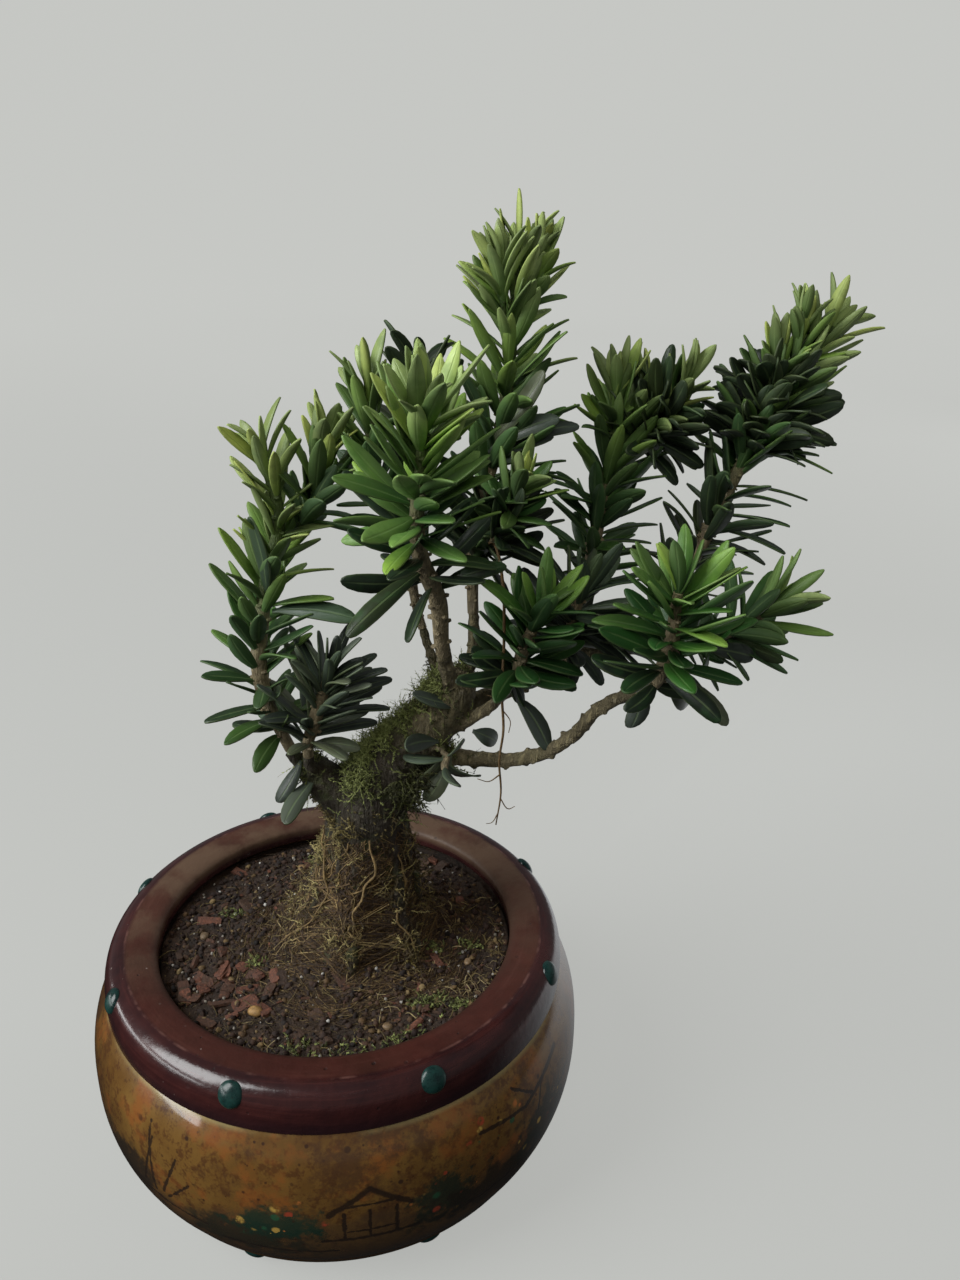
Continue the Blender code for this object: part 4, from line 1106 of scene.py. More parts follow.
def scars(route, draw):
    # the knobs that fallen leaves left, on a spiral along a bare branch
    length = sum((b - a).length for (a, _), (b, _) in zip(route, route[1:]))
    count = int(length / trunk["scarSpacing"])
    turn = draw.uniform(0, math.tau)
    for number in range(2, count):
        centre, radius, way = pointAt(route, number / count)
        side = Matrix.Rotation(turn + goldenTurn * number, 3, way) @ across(way, Vector((0.31, 0.95, 0.02)))
        turnedOut = side.to_track_quat("X", "Z").to_matrix().to_4x4()
        size = max(radius, 1.2 * mm) * draw.uniform(0.38, 0.64)
        yield Matrix.Translation(centre + side * radius * 0.98) @ turnedOut @ Matrix.Diagonal((size, size, 0.55 * size, 1))


def makeTrunk():
    draw = random.Random(41)
    low, high = trunk["cone"][0][0], trunk["cone"][-1][0]
    levels = 44
    profile = [(0, low * mm)] + [(1 * mm, (low + (high - low) * n / levels) * mm) for n in range(levels + 1)] + [(0, high * mm)]
    shape = turned(profile, 96)
    for vert in shape.verts:
        height = vert.co.z / mm
        centre = coneCentre(height)
        if vert.co.xy.length > 0.5 * mm:
            angle = math.atan2(vert.co.y, vert.co.x)
            reach = coneRadius(height, angle)
            # finer roots between the lobes
            reach += 0.35 * mm * math.cos(19 * angle + 2.2 * math.sin(height * 0.16)) * min(1, (83 - height) / 20)
            vert.co.x, vert.co.y = centre.x + reach * math.cos(angle), centre.y + reach * math.sin(angle)
        else:
            vert.co.x, vert.co.y = centre.x, centre.y
    routes = [smoothRoute(points, 10) for points in trunk["limbs"]]
    branches = [slimmed(smoothRoute(points, 10), name) for name, points in trunk["branches"].items()]
    limbs = tubes(routes + branches, 6)
    shape.from_mesh(limbs)
    knob = bmesh.new()
    bmesh.ops.create_icosphere(knob, subdivisions=2, radius=1)
    knob = meshOf(knob, "knob")
    for route in branches:
        for place in scars(route, draw):
            stamp(shape, knob, place)
    wood = bpy.data.objects.new("wood", meshOf(shape))
    bpy.context.scene.collection.objects.link(wood)
    weld = wood.modifiers.new("weld", "REMESH")
    weld.mode = "VOXEL"
    weld.voxel_size = trunk["voxel"]
    ease = wood.modifiers.new("ease", "SMOOTH")
    ease.factor = 0.5
    ease.iterations = 2
    mesh = evaluated(wood)
    normals = [vert.normal.copy() for vert in mesh.vertices]
    for vert, normal in zip(mesh.vertices, normals):
        place = vert.co
        foot = min(max((84 - place.z / mm) / 20, 0), 1)
        angle = math.atan2(place.y - soil["rootCentre"][1], place.x - soil["rootCentre"][0])
        furrow = noise.noise(Vector((math.cos(angle) * 5, math.sin(angle) * 5, place.z * 70)))
        lump = noise.noise(place * 420) + 0.6 * noise.noise(place * 900)
        vert.co = place + normal * mm * (1.5 * foot * furrow + (0.22 + 0.62 * foot) * lump - 0.05 - 0.6 * foot)
    finishPiece("trunkWood", mesh, [barkMaterial()], "bark", ["trunk"])
    return mesh


def rootMaterial():
    stops = (
        (0.0, (0.026, 0.013, 0.005)), (0.35, (0.082, 0.044, 0.014)), (0.7, (0.200, 0.118, 0.036)),
        (1.0, (0.400, 0.290, 0.120)),
    )
    return toneMaterial("rootSkin", stops, 0.85, 0.35)


def rootRoute(draw, top, spread, radius, stray):
    # down the foot of the trunk, then out over the mound and into the soil
    angle = draw.uniform(0, math.tau)
    if draw.random() < 0.45:
        angle = math.radians(draw.gauss(-110, 45))
    route = []
    height = draw.uniform(*top)
    wander = draw.uniform(0, 50)
    out = 0.0
    number = 0
    reach = draw.uniform(*spread)
    while number < 60:
        number += 1
        angle += stray * noise.noise(Vector((wander, number * 0.22, 0.5)))
        if height > 51.5:
            centre = coneCentre(height)
            rest = coneRadius(height, angle) + radius * 0.5 + 0.25 * mm * noise.noise(Vector((number * 0.4, wander, 2)))
            place = centre + Vector((math.cos(angle), math.sin(angle), 0)) * rest
            height -= 1.1
            ground = soilHeight(place.x, place.y)
            if place.z < ground:
                place.z = ground + radius * 0.4
        else:
            out += 0.9 * mm
            centre = coneCentre(50)
            away = coneRadius(50.5, angle) + out
            place = centre + Vector((math.cos(angle), math.sin(angle), 0)) * away
            lift = max(0.0, 0.5 * mm * noise.noise(Vector((number * 0.35, 7, wander))))
            place.z = soilHeight(place.x, place.y) + radius * 0.5 + lift - max(0, out - reach * 0.8) * 0.4
            if out > reach or place.to_2d().length > soil["edge"] - 1 * mm:
                break
        route.append((place, radius * (1 - 0.6 * min(out / reach, 1)) * draw.uniform(0.85, 1.1)))
    return route


def paleRoots():
    routes = []
    for rows in trunk["paleRoots"]:
        points = []
        for turn, height, radius in rows:
            angle = math.radians(turn)
            reach = coneRadius(height, angle) + radius * 0.75 * mm
            place = coneCentre(height) + Vector((math.cos(angle), math.sin(angle), 0)) * reach
            points.append((*(place / mm), radius))
        route = smoothRoute(points, 7)
        # thin and knobbly, and never quite straight
        routes.append([
            (place + mm * 1.1 * Vector((noise.noise(place * 300), noise.noise(place * 300 + Vector((5, 5, 5))), 0)),
             0.62 * radius * (1 + 0.6 * noise.noise(place * 800)))
            for place, radius in route
        ])
    mesh = tubes(routes, 2)
    markMesh(mesh, "tone")
    mesh.attributes["tone"].data.foreach_set("value", [0.8] * len(mesh.vertices))
    return mesh


def makeRoots():
    draw = random.Random(63)
    groups = {
        "rootStrands": (22, (56, 80), (4 * mm, 15 * mm), (0.10, 0.22), 0.55, 1),
        "rootFibres": (800, (52, 82), (3 * mm, 20 * mm), (0.05, 0.12), 0.8, 0),
    }
    skin = rootMaterial()
    for name, (count, top, spread, thick, stray, roundness) in groups.items():
        shape = bmesh.new()
        if roundness:
            shape.from_mesh(paleRoots())
        for number in range(count):
            route = rootRoute(draw, top, spread, draw.uniform(*thick) * mm, stray)
            if len(route) > 3:
                mesh = tubes([route if roundness else route[::2]], roundness)
                markMesh(mesh, "tone")
                shaded = max(0, (route[0][0] - coneCentre(60)).normalized().x)
                patch = 0.4 + 1.2 * max(0.0, noise.noise(route[len(route) // 2][0] * 190) + 0.3)
                tone = min(draw.random() ** (1 + 2.5 * shaded) * patch, 1)
                mesh.attributes["tone"].data.foreach_set("value", [tone] * len(mesh.vertices))
                shape.from_mesh(mesh)
                bpy.data.meshes.remove(mesh)
        finishPiece(name, meshOf(shape), [skin], "bark")


def makeLitter():
    # short curled fibres matted over the mound and the soil, thickest in front and to the right
    draw = random.Random(31)
    templates = []
    for number in range(14):
        bend, lift, twist = draw.uniform(-1.6, 1.6), draw.uniform(0.05, 0.35), draw.uniform(0, 6)
        route = []
        for index in range(6):
            t = index / 5
            height = lift * math.sin(math.pi * t) + 0.08 * math.sin(twist + 7 * t)
            route.append((Vector((t - 0.5, 0.3 * math.sin(bend * t * 2), height)), 0.032 * (1 - 0.5 * t)))
        mesh = tubes([[(place * mm, radius * mm) for place, radius in route]], 0)
        markMesh(mesh, "tone")
        templates.append(mesh)
    shape = bmesh.new()
    for number in range(soil["litter"]):
        x, y = onSoil(draw, 8 * mm)
        away = math.hypot(x - soil["rootCentre"][0], y) / mm
        if draw.random() > max(1.25 - away / 26, 1.1 * golden(x, y), 0.12):
            continue
        angle = math.atan2(y, x - soil["rootCentre"][0])
        ground = max(soilHeight(x, y), 0)
        # over the foot of the trunk the fibres lie on the cone
        for height in range(50, 62):
            if (away - coneCentre(height).x / mm + 4.6) * mm < coneRadius(height, angle) + 0.4 * mm:
                ground = max(ground, height * mm)
        size = draw.uniform(0.7, 2.0) if draw.random() < 0.75 else draw.uniform(2.0, 4.2)
        place = Matrix.Translation((x, y, ground + draw.uniform(0, 0.3) * mm)) @ Matrix.Rotation(draw.uniform(0, math.tau), 4, "Z")
        place = place @ Matrix.Rotation(draw.gauss(0, 0.35), 4, "Y")
        stamp(shape, draw.choice(templates), place @ Matrix.Diagonal((size, size, size * 0.8, 1)), tone=min(draw.random() + 0.4 * golden(x, y), 1))
    stops = (
        (0.0, (0.026, 0.014, 0.006)), (0.4, (0.070, 0.042, 0.015)), (0.75, (0.135, 0.096, 0.030)),
        (0.93, (0.210, 0.155, 0.052)), (1.0, (0.360, 0.280, 0.130)),
    )
    finishPiece("soilLitter", meshOf(shape), [toneMaterial("litter", stops, 0.85)], "soil")


woodMesh = makeTrunk()
makeRoots()
makeLitter()
print("trunk and roots made")


# Leaves

leaf = {
    "length": 14.0,      # of the pattern leaf, in millimetres
    "width": 3.3,
    "thickness": 0.34,
    "rows": (0, 0.07, 0.2, 0.36, 0.52, 0.68, 0.82, 0.93, 0.985, 1),
    # taper of the foot and of the tip, fold along the midrib and backward bend in degrees
    "kinds": {"young": (1.05, 0.72, 24, -4), "grown": (0.96, 0.62, 16, 4), "old": (0.86, 0.46, 10, 14)},
    "variants": 7,
    "crowding": 0.98,
    "slenderTips": 0.28,
    "ripening": 1.5,     # how far up a shoot its leaves stay old
}

sprays = {
    # shoots: points (x, y, z, radius), leaves, leaf length, where on the stem the leaves start and end,
    # openings at foot and tip, width, age at foot and tip (0 is last year's leaf, 1 has just opened);
    # a shoot without points is more leaves on the first stem
    "front_top": (
        (
            ((22, -13, 134, 1.7), (18, -18.6, 146, 1.5), (18.3, -26, 173, 0.9)),
            64, 15.6, (0.54, 1), (68, 22), 1.24, (0.58, 1.10),
        ),
        ((), 16, 17, (0.30, 0.56), (70, 56), 1.1, (0.0, 0.16)),
    ),
    "front_right": (
        (((62.8, -25, 124, 1.5), (63.2, -28, 140, 0.9)), 46, 15.2, (0.30, 1), (82, 28), 1.34, (0.30, 0.72)),
        ((), 8, 15, (0.1, 0.30), (96, 80), 1.25, (0.0, 0.1)),
    ),
    "centre_tall": (
        (
            ((32.5, 7, 145, 1.6), (37, 10, 160, 1.4), (41.6, 17, 194, 0.9)),
            112, 14.8, (0.12, 1), (64, 32), 1.10, (0.22, 1.30),
        ),
        (((39.8, 14, 174, 0.9), (37.8, 12.6, 184, 0.8), (37.0, 12.4, 191, 0.7)), 22, 11.5, (0.35, 1), (38, 12), 0.95, (0.7, 1.3)),
        (((41, 16, 180, 0.9), (43.6, 15.6, 186, 0.8), (44.6, 15, 192, 0.7)), 20, 10.5, (0.3, 1), (40, 14), 0.95, (0.7, 1.2)),
        (((31.6, 5, 136, 1.0), (36, 2, 143, 0.9), (39.6, -0.6, 153, 0.8)), 26, 11, (0.45, 1), (64, 24), 1.15, (0.3, 1.0)),
        ((), 26, 15, (0.02, 0.5), (70, 48), 1.1, (0.0, 0.16)),
    ),
    "right_tall": (
        (
            ((79, 9.4, 131, 1.6), (89.3, 12.6, 151, 1.4), (109.4, 19.8, 179, 0.9)),
            112, 14.6, (0.06, 1), (62, 32), 1.10, (0.0, 1.25),
        ),
        (((100, 17, 167, 0.9), (101.4, 16.6, 175, 0.8), (101.6, 17, 181, 0.7)), 18, 10.5, (0.3, 1), (40, 14), 0.95, (0.7, 1.2)),
        (((91, 13.4, 154, 1.0), (95.4, 15, 163, 0.9), (97, 16.6, 174, 0.8)), 26, 11, (0.35, 1), (52, 22), 1.1, (0.5, 1.1)),
        ((), 96, 14, (0.0, 0.62), (66, 40), 1.36, (0.0, 0.14)),
    ),
    "right_mid": (
        (
            ((59.6, 16, 135, 1.5), (62, 18.6, 147, 1.3), (70.4, 24, 165, 0.9)),
            84, 14.8, (0.1, 1), (64, 30), 1.16, (0.24, 1.15),
        ),
        (((64.4, 19, 150, 0.9), (62.6, 18, 160, 0.8), (62.8, 18.4, 168, 0.7)), 24, 12.5, (0.30, 1), (46, 16), 1.1, (0.62, 1.15)),
        (((68, 20, 155, 0.9), (74.6, 18, 162, 0.8), (77.6, 17, 168, 0.7)), 24, 12.5, (0.3, 1), (44, 16), 1.1, (0.85, 1.3)),
        ((), 58, 15, (0.02, 0.6), (70, 44), 1.1, (0.0, 0.16)),
    ),
    "centre_low": (
        (((51, -1.4, 124, 1.1), (52.6, -1.8, 130, 0.9)), 36, 14.6, (0.04, 1), (78, 30), 1.15, (0.0, 0.42)),
        ((), 14, 14.6, (0.0, 0.7), (88, 60), 1.1, (0.0, 0.1)),
    ),
    "low_twig": ((((23.5, -10.8, 98.4, 0.8), (23.2, -12, 97, 0.7)), 5, 10, (0.2, 1), (95, 50), 1.15, (0.0, 0.1)),),
    "right_low": ((((81, -9, 122.6, 1.2), (91, -11, 129.6, 0.9)), 40, 14.4, (0.1, 1), (62, 24), 1.1, (0.2, 0.92)),),
    "front_low": (
        (((38.4, -12, 122, 1.3), (41.4, -15.4, 133, 0.9)), 44, 13.6, (0.05, 1), (82, 24), 1.22, (0.20, 0.70)),
        ((), 10, 13, (0.0, 0.3), (92, 76), 1.15, (0.0, 0.15)),
    ),
    "left_tall": (
        (
            ((-12.6, 0, 114, 1.6), (-11, 2, 130, 1.5), (-7, 4, 148, 1.2), (-9.6, 4, 160, 0.9)),
            88, 13.2, (0.05, 1), (66, 28), 1.12, (0.20, 1.5),
        ),
        (
            ((-8.8, 3.2, 139, 1.1), (-1.6, 5.6, 146, 1.0), (2.6, 6.4, 160, 0.8)),
            36, 13.4, (0.30, 1), (58, 24), 1.15, (0.4, 1.45),
        ),
    ),
    "left_low": ((((-2.4, -4.6, 106, 1.4), (0.6, -6.0, 116, 0.9)), 52, 14.6, (0.12, 1), (54, 22), 0.90, (0.0, 0.14)),),
    "back_left": (
        (((17.4, 5.6, 140, 1.2), (12, 6.6, 155, 1.1), (11.2, 8, 171, 0.8)), 38, 13.2, (0.45, 1), (58, 22), 1.1, (0.3, 1.05)),
        (((17.1, 5.7, 141, 1.0), (19.6, 9.4, 160, 0.9), (21.2, 11.4, 173, 0.8)), 32, 13, (0.4, 1), (56, 18), 1.2, (0.0, 0.10)),
    ),
}

slots = {name: "grown_leaf" for name in sprays}
slots.update(dict.fromkeys(("front_top", "front_right", "front_low"), "young_leaf"))
slots.update(dict.fromkeys(("centre_low", "left_low", "low_twig"), "old_leaf"))


def makeLeafGroup():
    # colour, gloss and relief of a leaf, from its age and from where a point lies on it
    tree, given, result = newGroup(
        "leafSkin",
        {title: ("Color", (0.1, 0.2, 0.05, 1)) for title in ("Old", "Grown", "Young", "Tip")},
        {"Color": "Color", "Roughness": "Float", "Height": "Float"},
    )
    where = addNode(tree, "TexCoord").outputs["Object"]
    onLeaf = addNode(tree, "SeparateXYZ", {0: addNode(tree, "UVMap", uv_map="leafMap").outputs[0]}).outputs
    age = addNode(tree, "Attribute", attribute_name="age").outputs["Fac"]
    tone = addNode(tree, "Attribute", attribute_name="tone").outputs["Fac"]
    under = addNode(tree, "Attribute", attribute_name="under").outputs["Fac"]
    # the outer end of a young leaf is younger than its foot
    reach = compute(tree, "MULTIPLY", compute(tree, "SUBTRACT", onLeaf[1], 0.55), 0.28)
    fresh = compute(tree, "ADD", age, compute(tree, "MULTIPLY", reach, step(tree, age, 0.2, 0.7)))
    color = mixColor(tree, step(tree, fresh, 0.05, 0.42), given["Old"], given["Grown"])
    color = mixColor(tree, step(tree, fresh, 0.42, 0.80), color, given["Young"])
    color = mixColor(tree, step(tree, fresh, 0.78, 1.06), color, given["Tip"])
    shade = step(tree, tone, 0.0, 1.0, (0.60, 1.36))
    color = mixColor(tree, 1.0, color, addNode(tree, "CombineColor", {0: shade, 1: shade, 2: shade}).outputs[0], "MULTIPLY")
    # some leaves are yellower than their neighbours
    warm = mixColor(tree, 1.0, color, (1.30, 1.08, 0.55, 1), "MULTIPLY")
    color = mixColor(tree, step(tree, tone, 0.55, 1.0, (0.0, 0.6)), color, warm)
    patch = noiseValue(tree, where, 330.0, 3.0)
    color = mixColor(tree, step(tree, patch, 0.45, 0.75, (0.0, 0.35)), color, given["Grown"])
    # the paler underside, then the midrib
    color = mixColor(tree, compute(tree, "MULTIPLY", under, 0.30), color, (0.055, 0.085, 0.040))
    side = compute(tree, "ABSOLUTE", compute(tree, "SUBTRACT", onLeaf[0], 0.5))
    rib = step(tree, side, 0.02, 0.075, (1.0, 0.0))
    ribbed = compute(tree, "MULTIPLY", rib, step(tree, onLeaf[1], 0.75, 0.98, (0.42, 0.05)))
    color = mixColor(tree, ribbed, color, mixColor(tree, 0.35, color, (0.30, 0.42, 0.16)))
    rim = compute(tree, "MULTIPLY", step(tree, side, 0.42, 0.5), 0.22)
    color = mixColor(tree, rim, color, (0.12, 0.16, 0.05))
    tree.links.new(color, result["Color"])
    fleck = useGroup(tree, spotGroup, {"Vector": where, "Scale": 900.0, "Size": 0.25})["Mask"]
    gloss = compute(tree, "ADD", step(tree, patch, 0.3, 0.7, (0.34, 0.50)), compute(tree, "MULTIPLY", under, 0.18))
    tree.links.new(compute(tree, "ADD", gloss, compute(tree, "MULTIPLY", fleck, 0.1)), result["Roughness"])
    lines = addNode(
        tree, "CombineXYZ", {0: compute(tree, "MULTIPLY", onLeaf[0], 26.0), 1: compute(tree, "MULTIPLY", onLeaf[1], 2.0), 2: tone}
    ).outputs[0]
    ribs = noiseValue(tree, lines, 1.0, 2.0)
    height = compute(tree, "SUBTRACT", compute(tree, "MULTIPLY", ribs, 0.35), compute(tree, "MULTIPLY", rib, 0.9))
    tree.links.new(height, result["Height"])
    return tree


leafGroup = makeLeafGroup()
# old, grown, young and tip colours of the leaves in each material slot
leafTints = {
    "young_leaf": ((0.013, 0.022, 0.012), (0.020, 0.084, 0.014), (0.165, 0.300, 0.064), (0.310, 0.410, 0.135)),
    "grown_leaf": ((0.018, 0.026, 0.015), (0.030, 0.082, 0.020), (0.130, 0.225, 0.046), (0.310, 0.395, 0.130)),
    # the old leaves are paler and greyer: partly their grey bloom, partly a painted sheen
    "old_leaf": ((0.048, 0.060, 0.048), (0.050, 0.080, 0.048), (0.060, 0.110, 0.040), (0.120, 0.200, 0.060)),
}


def leafMaterial(slot):
    material, tree, shader, where = newMaterial(slot.replace("_", ""), 0.4, Specular_IOR_Level=0.4)
    old, grown, young, tip = (color4(tint) for tint in leafTints[slot])
    skin = useGroup(tree, leafGroup, {"Old": old, "Grown": grown, "Young": young, "Tip": tip})
    tree.links.new(skin["Color"], shader.inputs["Base Color"])
    tree.links.new(skin["Roughness"], shader.inputs["Roughness"])
    addBump(tree, shader, skin["Height"], 0.12 * mm, 0.6)
    return material


def stemMaterial():
    material, tree, shader, where = newMaterial("shootStem", 0.7)
    age = addNode(tree, "Attribute", attribute_name="age").outputs["Fac"]
    cloud = useGroup(tree, mottleGroup, {"Vector": where, "Scale": 500.0, "Contrast": 2.4})["Value"]
    woody = mixColor(tree, cloud, (0.115, 0.088, 0.044), (0.330, 0.265, 0.150))
    green = mixColor(tree, cloud, (0.040, 0.070, 0.018), (0.100, 0.145, 0.040))
    color = mixColor(tree, step(tree, age, 0.35, 0.8), woody, green)
    strands = useGroup(tree, fibreGroup, {"Vector": where, "Scale": 900.0, "Stretch": 4.0})["Height"]
    color = mixColor(tree, compute(tree, "MULTIPLY", strands, 0.4), color, (0.020, 0.014, 0.008))
    tree.links.new(color, shader.inputs["Base Color"])
    tree.links.new(step(tree, cloud, 0.0, 1.0, (0.55, 0.8)), shader.inputs["Roughness"])
    addBump(tree, shader, compute(tree, "SUBTRACT", cloud, strands), 0.25 * mm, 0.8)
    return material


def leafTemplate(kind, draw):
    footTaper, tipTaper, fold, bend = leaf["kinds"][kind]
    widest = footTaper / (footTaper + tipTaper)
    most = widest ** footTaper * (1 - widest) ** tipTaper
    fold = math.radians(fold * draw.uniform(0.6, 1.3))
    bend = math.radians(bend + draw.uniform(-24, 24))
    twist = math.radians(draw.uniform(-18, 18))
    sway = draw.uniform(-0.09, 0.09)
    rows = leaf["rows"]
    last = len(rows) - 1
    shape = bmesh.new()
    bmesh.ops.create_grid(shape, x_segments=last, y_segments=2, size=0.5)
    layer = shape.loops.layers.uv.new("leafMap")
    marks = {}
    for vert in shape.verts:
        share, side = rows[round((vert.co.x + 0.5) * last)], round(vert.co.y * 2)
        marks[vert] = (0.5 + 0.5 * side, share)
        half = leaf["width"] / 2 * max(share ** footTaper * (1 - share) ** tipTaper / most, 0.16 * (1 - share) + 0.03)
        angle = bend * share
        away = leaf["length"] * share
        centre = Vector((away, sway * away * share * 2, 0))
        if abs(bend) > 0.01:
            centre.x = leaf["length"] * math.sin(angle) / bend
            centre.z = -leaf["length"] * (1 - math.cos(angle)) / bend
        turn = Matrix.Rotation(angle, 3, "Y") @ Matrix.Rotation(twist * share, 3, "X")
        cross = Vector((0, side * half * math.cos(fold), abs(side) * half * math.sin(fold) * (1 - 0.4 * share)))
        vert.co = (centre + turn @ cross) * mm
    for face in shape.faces:
        for loop in face.loops:
            loop[layer].uv = marks[loop.vert]
    bmesh.ops.recalc_face_normals(shape, faces=shape.faces)
    if sum(face.normal.z for face in shape.faces) < 0:
        bmesh.ops.reverse_faces(shape, faces=shape.faces)
    upper = len(shape.verts)
    bmesh.ops.solidify(shape, geom=shape.faces[:], thickness=leaf["thickness"] * mm)
    bmesh.ops.recalc_face_normals(shape, faces=shape.faces)
    mesh = meshOf(shape, "leaf")
    markMesh(mesh, "age", "tone", "under")
    heights = [0.0] * upper + [1.0] * (len(mesh.vertices) - upper)
    mesh.attributes["under"].data.foreach_set("value", heights)
    return mesh


def leafPlace(origin, direction, azimuth, opening, roll):
    out = Matrix.Rotation(azimuth, 3, direction) @ across(direction, Vector((0.9, 0.3, 0.1)))
    along = direction * math.cos(opening) + out * math.sin(opening)
    upper = (direction - along * direction.dot(along)).normalized()
    turn = Matrix((along, upper.cross(along), upper)).transposed()
    return Matrix.Translation(origin) @ (turn @ Matrix.Rotation(roll, 3, "X")).to_4x4()


def insideBox(place, length, box):
    # whether the leaf's tip stays in the solid's box
    tip = place @ Vector((length * mm, 0, 0))
    return all(box[0][axis] <= tip[axis] <= box[1][axis] for axis in range(3))


def afterBranch(name, points):
    branch = smoothRoute(trunk["branches"][name], 2)
    end, radius = branch[-1]
    onward = directions(branch)[-1]
    start = end - onward * 0.4 * mm
    second = end + onward * 1.8 * mm
    radius *= trunk["stouter"].get(name, trunk["slimness"]) / mm
    return ((*(start / mm), radius), (*(second / mm), radius)) + points


def makeSpray(name, templates, knob, materials):
    draw = random.Random("spray" + name)
    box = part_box("spray_" + name)
    leaves = bmesh.new()
    stems = []
    for number, (points, count, length, (first, last), (foot, tip), width, (oldest, youngest)) in enumerate(sprays[name]):
        if points:
            stem = slimmed(smoothRoute(points, 8)) if number else smoothRoute(afterBranch(name, points), 8)
            stems.append(stem)
        lower = not points
        turn = draw.uniform(0, math.tau)
        for index in range(count):
            share = (index + 0.5) / count
            origin, radius, way = pointAt(stem, first + (last - first) * share ** leaf["crowding"])
            opening = foot + (tip - foot) * share ** 1.2 + draw.gauss(0, 11)
            size = length * (0.92 + 0.16 * math.sin(math.pi * share)) * draw.uniform(0.76, 1.14)
            if share > 0.9 and not lower:
                # the bud: short upright leaves
                closing = (share - 0.9) / 0.1
                size *= 1 - closing * draw.uniform(0.1, 0.4)
                opening *= 1 - 0.4 * closing * draw.random()
            azimuth = turn + goldenTurn * index + draw.gauss(0, 0.22)
            place = leafPlace(origin - way * 0.2 * mm, way, azimuth, math.radians(opening), draw.gauss(0, 0.75 if lower else 0.3))
            while not insideBox(place, size, box) and size > 4:
                size *= 0.93
            age = oldest + (youngest - oldest) * share ** leaf["ripening"] + draw.gauss(0, 0.07)
            kind = "old" if age < 0.22 else "grown" if age < 0.62 else "young"
            slender = 1 if lower else 1 - leaf["slenderTips"] * share ** 2
            grow = Matrix.Diagonal((size / leaf["length"], draw.uniform(0.84, 1.08) * width * slender, 1, 1))
            stamp(leaves, draw.choice(templates[kind]), place @ grow, age=min(max(age, 0), 1), tone=draw.random())
    count = len(leaves.faces)
    wood = bmesh.new()
    wood.from_mesh(tubes(stems, 4))
    for stem in stems:
        for place in scars(stem, draw):
            stamp(wood, knob, place)
    wood = meshOf(wood)
    markMesh(wood, "age", "tone", "under")
    low, high = box[0].z, box[1].z
    # woody at its foot, green at its tip
    youngest = sprays[name][0][-1][1]
    grown = [youngest * (vert.co.z - low) / (high - low) for vert in wood.vertices]
    wood.attributes["age"].data.foreach_set("value", grown)
    leaves.from_mesh(wood)
    leaves.faces.ensure_lookup_table()
    for face in leaves.faces[count:]:
        face.material_index = 1
    mesh = meshOf(leaves)
    indices = [face.material_index for face in mesh.polygons]
    words = name.split("_")
    title = words[0] + "".join(word.capitalize() for word in words[1:]) + "Spray"
    piece = finishPiece(title, mesh, [materials[slots[name]], materials["stem"]], slots[name], ["spray_" + name])
    piece.data.polygons.foreach_set("material_index", indices)


def makeSprays():
    draw = random.Random(77)
    templates = {kind: [leafTemplate(kind, draw) for _ in range(leaf["variants"])] for kind in leaf["kinds"]}
    materials = {slot: leafMaterial(slot) for slot in leafTints}
    materials["stem"] = stemMaterial()
    knob = bmesh.new()
    bmesh.ops.create_icosphere(knob, subdivisions=1, radius=1)
    knob = meshOf(knob, "knob")
    for name in sprays:
        makeSpray(name, templates, knob, materials)
    makeHangingLeaves(templates["old"], materials["old_leaf"])


hangingLeaves = (
    # foot, tip in millimetres and width of the old leaves that hang on the limbs
    ((24.8, -7.6, 98.1), (21.0, -12.0, 88.1), 4.4),
    ((22.6, -7.4, 101.2), (13.8, -13.0, 106.0), 4.0),
    ((30.0, -5.0, 101.8), (36.0, -6.4, 99.6), 4.0),
    ((38.1, -8.6, 111.0), (46.9, -12.0, 102.6), 4.2),
    ((67.0, -17.0, 116.2), (73.9, -18.0, 109.9), 5.0),
    ((76.0, -12.0, 121.2), (86.8, -15.0, 120.8), 4.2),
    ((64.0, -24.0, 121.8), (77.5, -26.5, 114.6), 4.0),
    ((59.2, -23.4, 119.1), (60.0, -26.0, 111.6), 4.4),
    ((-5.6, -1.6, 95.5), (-10.0, -7.0, 88.5), 3.6),
    ((-3.0, -2.0, 91.3), (-11.5, -10.0, 87.3), 4.4),
    ((26.4, -5.0, 108.0), (19.0, -10.0, 112.4), 3.8),
    # long dark leaves behind the front shoot, at its right
    ((34.6, 6.4, 159.4), (45.5, 2.0, 172.0), 4.2),
    ((34.2, 6.0, 157.6), (44.5, 3.0, 168.6), 4.4),
    ((35.0, 7.4, 158.0), (51.0, 6.0, 166.4), 3.4),
    ((34.0, 6.6, 155.4), (43.9, 4.0, 165.2), 4.2),
    # two stray leaves of the left shoot
    ((-10.2, -0.4, 132.2), (-9.0, -6.0, 148.4), 4.6),
    ((-9.4, 0.4, 128.6), (6.6, -5.0, 132.6), 4.2),
)


def makeHangingLeaves(templates, material):
    draw = random.Random(19)
    shape = bmesh.new()
    for foot, tip, width in hangingLeaves:
        foot, tip = Vector(foot) * mm, Vector(tip) * mm
        along = (tip - foot).normalized()
        upper = across(along, Vector((-0.3, -0.6, 0.8)))
        turn = Matrix((along, upper.cross(along), upper)).transposed().to_4x4()
        grow = Matrix.Diagonal(((tip - foot).length / mm / leaf["length"], width / leaf["width"], 1, 1))
        age = 0.5 if foot.x < -8 * mm and foot.z > 0.12 else draw.uniform(0, 0.12)
        stamp(shape, draw.choice(templates), Matrix.Translation(foot) @ turn @ grow, age=age, tone=draw.random())
    finishPiece("hangingLeaves", meshOf(shape), [material], "old_leaf")


makeSprays()
print("leaves made")


# Moss and the dry aerial root

